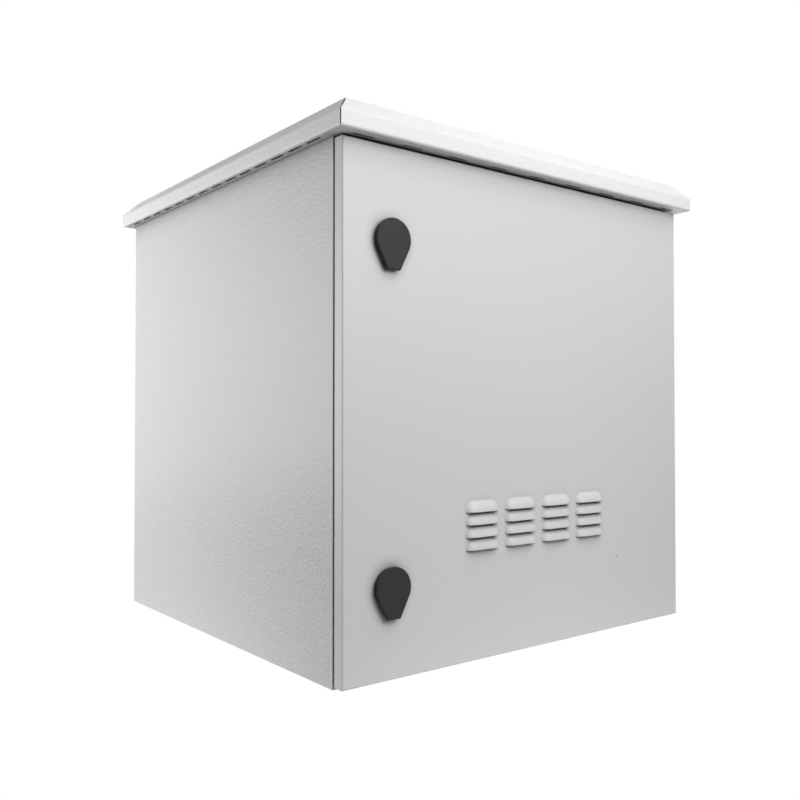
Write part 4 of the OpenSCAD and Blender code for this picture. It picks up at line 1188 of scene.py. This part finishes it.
@dataclass
class Lock:
    """One quarter-turn lock.

    Attributes:
        level: which of the two locks.
        edge: rounding of the drum's edge.
        fine_edge: rounding of the other pieces' edges.
        knob_segments: faces across the knob's rounding.
        barrel_d: diameter of the threaded barrel.
        bore_d: diameter of the spindle's bore.
        pitch: pitch of the barrel's thread.
        groove: depth of the thread.
        steps: rings drawn for one turn of the thread.
        sides: points round the drum and the barrel.
        edge_steps: faces across the drum's rounded edge.
        door_t: thickness of the door's sheet.
    """

    level: str
    edge: float = 0.6 * MM
    fine_edge: float = 0.3 * MM
    knob_segments: int = 3
    barrel_d: float = 22.0 * MM
    bore_d: float = 10.1 * MM
    pitch: float = 1.5 * MM
    groove: float = 0.55 * MM
    steps: int = 6
    sides: int = 64
    edge_steps: int = 4
    door_t: float = 1.5 * MM

    def build(self) -> None:
        """Round and dress the lock's pieces."""
        soft_copy(f"lock_knob_{self.level}", LOCK_BLACK, self.fine_edge, self.knob_segments)
        self._housing()
        for part in ("lock_nut", "lock_spindle", "lock_cam", "cam_screw"):
            soft_copy(f"{part}_{self.level}", ZINC_BRIGHT, self.fine_edge)

    def _housing(self) -> None:
        """Turn the drum and its threaded barrel about the lock's axis."""
        node = f"lock_housing_{self.level}"
        low, high = (Vector(corner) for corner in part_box(node))
        drum, barrel, bore, edge = (high.x - low.x) / 2, self.barrel_d / 2, self.bore_d / 2, self.edge
        skirt = self._door_face() - low.y
        rings = [round_ring(bore, 0.0, self.sides), round_ring(drum - edge, 0.0, self.sides)]
        for i in range(1, self.edge_steps + 1):
            turn = math.pi / 2 * i / self.edge_steps
            wide, height = drum - edge + edge * math.sin(turn), edge - edge * math.cos(turn)
            rings.append(round_ring(wide, height, self.sides))
        rings += [round_ring(drum, skirt, self.sides), round_ring(barrel, skirt, self.sides)]
        length, step = high.y - low.y, self.pitch / self.steps
        for i in range(1, int((length - skirt - self.pitch) / step)):
            rings.append(self._thread_ring(barrel, skirt + i * step))
        rings += [round_ring(barrel - self.groove, length, self.sides), round_ring(bore, length, self.sides)]
        piece = link(node + "_turned", skin(node, rings, loop=True))
        place = Matrix.Translation(((low.x + high.x) / 2, low.y, (low.z + high.z) / 2))
        piece.data.transform(place @ Matrix.Rotation(math.radians(-90), 4, "X"))
        settle(piece, LOCK_BLACK, node)

    def _door_face(self) -> float:
        """Find the plane of the door's face, which the drum stands on."""
        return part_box(f"lock_nut_{self.level}")[0][1] - self.door_t

    def _thread_ring(self, radius: float, height: float) -> Ring:
        """Draw one ring of the barrel's thread.

        Args:
            radius: the barrel's radius.
            height: the ring's height along the barrel.

        Returns:
            The points.
        """
        points = []
        for i in range(self.sides):
            share = (height / self.pitch + i / self.sides) % 1.0
            depth = self.groove * abs(2 * share - 1)
            turn = math.tau * i / self.sides
            points.append(((radius - depth) * math.cos(turn), (radius - depth) * math.sin(turn), height))
        return points


@dataclass
class Hinge:
    """One concealed hinge.

    Attributes:
        level: which of the two hinges.
        edge: rounding of the edges.
    """

    level: str
    edge: float = 0.3 * MM

    def build(self) -> None:
        """Round and dress the hinge's pieces."""
        for part in ("hinge_bracket", "hinge_lugs", "hinge_pin"):
            soft_copy(f"{part}_{self.level}", ZINC_BRIGHT, self.edge)


@dataclass
class Fan:
    """One fan with its guard.

    Attributes:
        side: which of the two fans.
        edge: rounding of the mouldings' edges.
    """

    side: str
    edge: float = 0.4 * MM

    def build(self) -> None:
        """Round and dress the fan's pieces."""
        soft_copy(f"fan_frame_{self.side}", FAN_BLACK, self.edge)
        soft_copy(f"fan_rotor_{self.side}", FAN_BLACK, self.edge)
        soft_copy(f"fan_guard_{self.side}", ZINC_BRIGHT, self.edge)


@dataclass
class Fittings:
    """The fasteners and the earth bar.

    Attributes:
        edge: rounding of the earth bar's edges.
        roof_bolt: bolts that hold the roof.
        roof_nut: their nuts.
        rail_bolt: bolts that hold the wall rails.
        rack_screw: screws that hold the rack rails.
        fan_screw: screws that hold the fans.
        bar_screw: screws of the earth bar.
        hinge_screw: screws of the hinge brackets.
        tray_nut: nuts of the filter tray.
    """

    edge: float = 0.3 * MM
    roof_bolt: Fastener = Fastener(Head.HEX, 10.5 * MM, 4.0 * MM, 6.0 * MM, seed=11)
    roof_nut: Fastener = Fastener(Head.NUT, 10.5 * MM, 5.0 * MM, 6.1 * MM, seed=12)
    rail_bolt: Fastener = Fastener(Head.HEX, 10.5 * MM, 4.0 * MM, 6.0 * MM, 10.5 * MM, 5.0 * MM, seed=13)
    rack_screw: Fastener = Fastener(Head.PAN, 11.0 * MM, 4.0 * MM, 6.0 * MM, 11.0 * MM, 5.0 * MM,
                                    nut_round=True, seed=14)
    fan_screw: Fastener = Fastener(Head.PAN, 8.0 * MM, 2.5 * MM, 4.0 * MM, 7.7 * MM, 3.0 * MM, seed=15)
    bar_screw: Fastener = Fastener(Head.PAN, 9.0 * MM, 3.0 * MM, 5.0 * MM, seed=16)
    hinge_screw: Fastener = Fastener(Head.PAN, 8.0 * MM, 2.0 * MM, 5.0 * MM, seed=17)
    tray_nut: Fastener = Fastener(Head.NUT, 9.2 * MM, 4.0 * MM, 5.1 * MM, seed=18)

    def build(self) -> None:
        """Set and dress the small fittings."""
        ahead, back, up = Vector((0.0, -1.0, 0.0)), Vector((0.0, 1.0, 0.0)), Vector((0.0, 0.0, 1.0))
        self.roof_bolt.place("roof_bolts", -up, ZINC_BRIGHT)
        self.roof_nut.place("roof_nuts", up, ZINC_BRIGHT)
        self.rail_bolt.place("wall_rail_bolts", back, ZINC_BRIGHT)
        self.rack_screw.place("rail_screws", Vector((-1.0, 0.0, 0.0)), ZINC_BRIGHT, inward=True)
        self.fan_screw.place("fan_screws", -up, ZINC_BRIGHT)
        self.bar_screw.place("earth_bar_screws", ahead, ZINC_BRIGHT)
        self.hinge_screw.place("hinge_bracket_screws", ahead, ZINC_BRIGHT)
        self.tray_nut.place("filter_nuts", back, ZINC_BRIGHT)
        soft_copy("earth_bar", BRASS, self.edge)


@dataclass
class Grommets:
    """The cable grommets in the base.

    Attributes:
        lip_t: thickness of the lip under the base.
        seat: height of the lip on the base.
        neck_in: how far the neck lies inside the lips' edge.
        hollow_in: how far the hollow underside lies inside that edge.
        edge: rounding of the edges.
        skin_t: thickness of the membrane.
        steps: raised rings on the membrane.
        tread: level part of a step, as a share.
        floor_share: radius of the membrane's middle, as a share of the neck's.
        dimple_shares: radii of the dimple there, as shares of the middle's.
    """

    lip_t: float = 1.2 * MM
    seat: float = 2.7 * MM
    neck_in: float = 5.0 * MM
    hollow_in: float = 10.0 * MM
    edge: float = 0.4 * MM
    skin_t: float = 1.6 * MM
    steps: int = 4
    tread: float = 0.6
    floor_share: float = 0.5
    dimple_shares: tuple[float, float] = (0.35, 0.3)

    def build(self) -> None:
        """Set a grommet in each hole of the base."""
        spots = solids_of("cable_grommets")
        size = spots[0].high - spots[0].low
        up = Vector((0.0, 0.0, 1.0))
        places = [(spot.end(-up), up) for spot in spots]
        shape = skin("grommet", self._lips(size.x / 2, size.z) + self._membrane(size.x / 2, size.z))
        settle(row("cable_grommets_set", shape, places, RUBBER), RUBBER, "cable_grommets")

    def _lips(self, lip: float, tall: float) -> list[Ring]:
        """Draw the underside, both lips and the rim.

        Args:
            lip: the lips' radius.
            tall: the grommet's height.

        Returns:
            The rings, from the hollow underside round to the inside of the rim.
        """
        neck, hollow, edge, seat = lip - self.neck_in, lip - self.hollow_in, self.edge, self.seat
        outline = (
            (hollow, self.lip_t), (hollow, edge), (hollow + edge, 0.0), (lip - edge, 0.0), (lip, edge),
            (lip, self.lip_t - edge / 2), (lip - edge, self.lip_t), (neck, self.lip_t), (neck, seat),
            (lip - edge, seat), (lip, seat + edge / 2), (lip - edge / 2, seat + edge),
            (neck + edge, tall - edge / 2), (neck, tall), (neck - self.skin_t + edge, tall),
            (neck - self.skin_t, tall - edge))
        return [round_ring(radius, height) for radius, height in outline]

    def _membrane(self, lip: float, tall: float) -> list[Ring]:
        """Draw the stepped membrane.

        Args:
            lip: the lips' radius.
            tall: the grommet's height.

        Returns:
            The rings, from the rim to the dimple in the middle.
        """
        neck, floor = lip - self.neck_in, self.seat + self.skin_t
        wall, inner = neck - self.skin_t - self.edge, neck * self.floor_share
        rings = []
        for i in range(self.steps):
            level = floor + (tall - self.edge - floor) * (1 - (i + self.tread) / self.steps)
            for place in (i, i + self.tread):
                rings.append(round_ring(wall + (inner - wall) * place / self.steps, level))
        outer, deep = (share * inner for share in self.dimple_shares)
        rings += [round_ring(inner, floor), round_ring(outer, floor), round_ring(deep, floor - self.edge)]
        return rings


# Studio


@dataclass(frozen=True)
class SoftBox:
    """One soft studio light.

    Attributes:
        name: the light's name.
        place: where it stands.
        aim: what it points at.
        size: its width and height.
        power: its power in watts.
    """

    name: str
    place: Point
    aim: Point
    size: tuple[float, float]
    power: float

    def build(self) -> None:
        """Make the light."""
        data = bpy.data.lights.new(self.name, "AREA")
        data.shape = "RECTANGLE"
        data.size, data.size_y = self.size
        data.energy = self.power
        light = bpy.data.objects.new(self.name, data)
        light.location = self.place
        light.visible_camera = False
        light.rotation_mode = "QUATERNION"
        light.rotation_quaternion = (Vector(self.aim) - Vector(self.place)).to_track_quat("-Z", "Y")
        bpy.context.scene.collection.objects.link(light)


@dataclass
class Studio:
    """A pale floor, soft light and the camera of the view.

    Attributes:
        floor_half: half the width of the floor.
        floor_drop: gap between the floor and what stands on it.
        table: strength of the light that the floor gives from below.
        pool_light: what is added to it at the middle.
        pool: how far from the middle that reaches.
        ambient: strength of the even light from all round.
        eye: the camera's place.
        yaw: the camera's turn from +Y to +X, in degrees.
        pitch: the camera's tilt upwards, in degrees.
        lens: focal length on a sensor of the given width, both in millimetres.
        sensor: width of the sensor.
        clip: the nearest and the farthest distance that the camera sees.
        lights: the soft lights.
    """

    floor_half: float = 14.0
    floor_drop: float = 0.0004
    table: float = 0.20
    pool_light: float = 0.74
    pool: float = 0.7
    ambient: float = 0.05
    eye: Point = (-0.8184, -1.0631, 0.2950)
    yaw: float = 37.91
    pitch: float = 1.06
    lens: float = 39.0
    sensor: float = 36.0
    clip: tuple[float, float] = (0.05, 60.0)
    lights: tuple[SoftBox, ...] = (
        SoftBox("front_near", place=(0.05, -1.30, 0.75), aim=(0.05, -0.30, 0.45), size=(0.9, 0.5), power=6.4),
        SoftBox("front_high", place=(-0.3, -1.7, 2.0), aim=(0.0, -0.3, 0.4), size=(2.0, 1.6), power=23.0),
        SoftBox("above", place=(0.90, -0.80, 2.30), aim=(0.05, -0.30, 0.50), size=(1.6, 1.2), power=13.5),
        SoftBox("left", place=(-1.20, 0.75, 0.45), aim=(-0.30, 0.20, 0.35), size=(0.6, 0.8), power=12.2),
        SoftBox("right", place=(2.20, 0.60, 0.60), aim=(0.30, 0.00, 0.30), size=(1.2, 1.2), power=22.0),
        SoftBox("rear", place=(0.60, 2.20, 0.90), aim=(0.00, 0.30, 0.30), size=(1.2, 1.0), power=17.0))

    def build(self) -> None:
        """Set up floor, light and camera."""
        self._floor()
        self._sky()
        for light in self.lights:
            light.build()
        self._camera()

    def _floor(self) -> None:
        """Lay a plain white floor, lit like a studio table, which doesn't hide the foot from below."""
        half, drop = self.floor_half, -self.floor_drop
        mesh = bpy.data.meshes.new("floor")
        corners = [(x * half, y * half, drop) for x, y in ((-1, -1), (1, -1), (1, 1), (-1, 1))]
        mesh.from_pydata(corners, [], [(0, 1, 2, 3)])
        floor = link("floor", mesh)
        material = bpy.data.materials.new("floor")
        material.use_nodes = True
        sheet = NodeSheet(material.node_tree)
        sheet.tree.nodes.remove(sheet.tree.nodes["Principled BSDF"])
        glow, clear = sheet.add("ShaderNodeEmission"), sheet.add("ShaderNodeBsdfTransparent")
        sides, path = sheet.add("ShaderNodeMixShader"), sheet.add("ShaderNodeLightPath")
        reach = sheet.add("ShaderNodeMapping")
        reach.inputs["Scale"].default_value = (1 / self.pool, 1 / self.pool, 1 / self.pool)
        fall = sheet.add("ShaderNodeTexGradient", gradient_type="SPHERICAL")
        sheet.join(sheet.add("ShaderNodeTexCoord").outputs["Object"], reach.inputs["Vector"])
        sheet.join(reach.outputs["Vector"], fall.inputs["Vector"])
        lit = sheet.spread(fall.outputs["Fac"], self.table, self.table + self.pool_light)
        sheet.join(sheet.math("MAXIMUM", lit, path.outputs["Is Camera Ray"]), glow.inputs["Strength"])
        sheet.join(sheet.add("ShaderNodeNewGeometry").outputs["Backfacing"], sides.inputs[0])
        sheet.join(glow.outputs[0], sides.inputs[1])
        sheet.join(clear.outputs[0], sides.inputs[2])
        sheet.join(sides.outputs[0], sheet.tree.nodes["Material Output"].inputs["Surface"])
        mesh.materials.append(material)
        floor.visible_shadow = False

    def _sky(self) -> None:
        """Light the scene evenly and show a white backdrop behind it."""
        world = bpy.data.worlds.new("studio")
        world.use_nodes = True
        bpy.context.scene.world = world
        sheet = NodeSheet(world.node_tree)
        shader = world.node_tree.nodes["Background"]
        path = sheet.add("ShaderNodeLightPath")
        sheet.join(sheet.spread(path.outputs["Is Camera Ray"], self.ambient, 1.0), shader.inputs["Strength"])
        shader.inputs["Color"].default_value = (1.0, 1.0, 1.0, 1.0)

    def _camera(self) -> None:
        """Set the camera at the view's angle."""
        data = bpy.data.cameras.new("camera")
        data.lens = self.lens
        data.sensor_width = self.sensor
        data.clip_start, data.clip_end = self.clip
        camera = bpy.data.objects.new("camera", data)
        yaw, pitch = math.radians(self.yaw), math.radians(self.pitch)
        ahead = Vector((math.sin(yaw) * math.cos(pitch), math.cos(yaw) * math.cos(pitch), math.sin(pitch)))
        camera.location = self.eye
        camera.rotation_mode = "QUATERNION"
        camera.rotation_quaternion = ahead.to_track_quat("-Z", "Y")
        bpy.context.scene.collection.objects.link(camera)
        bpy.context.scene.camera = camera
        bpy.context.scene.view_settings.view_transform = "Standard"


def main() -> None:
    """Build every sub-assembly and the studio."""
    logging.basicConfig(level=logging.INFO, format="%(name)s: %(message)s")
    Shell().build()
    Rack().build()
    Door().build()
    for level in ("upper", "lower"):
        Lock(level).build()
        Hinge(level).build()
    for side in ("left", "right"):
        Fan(side).build()
    Fittings().build()
    Grommets().build()
    Studio().build()


if __name__ == "__main__":
    main()
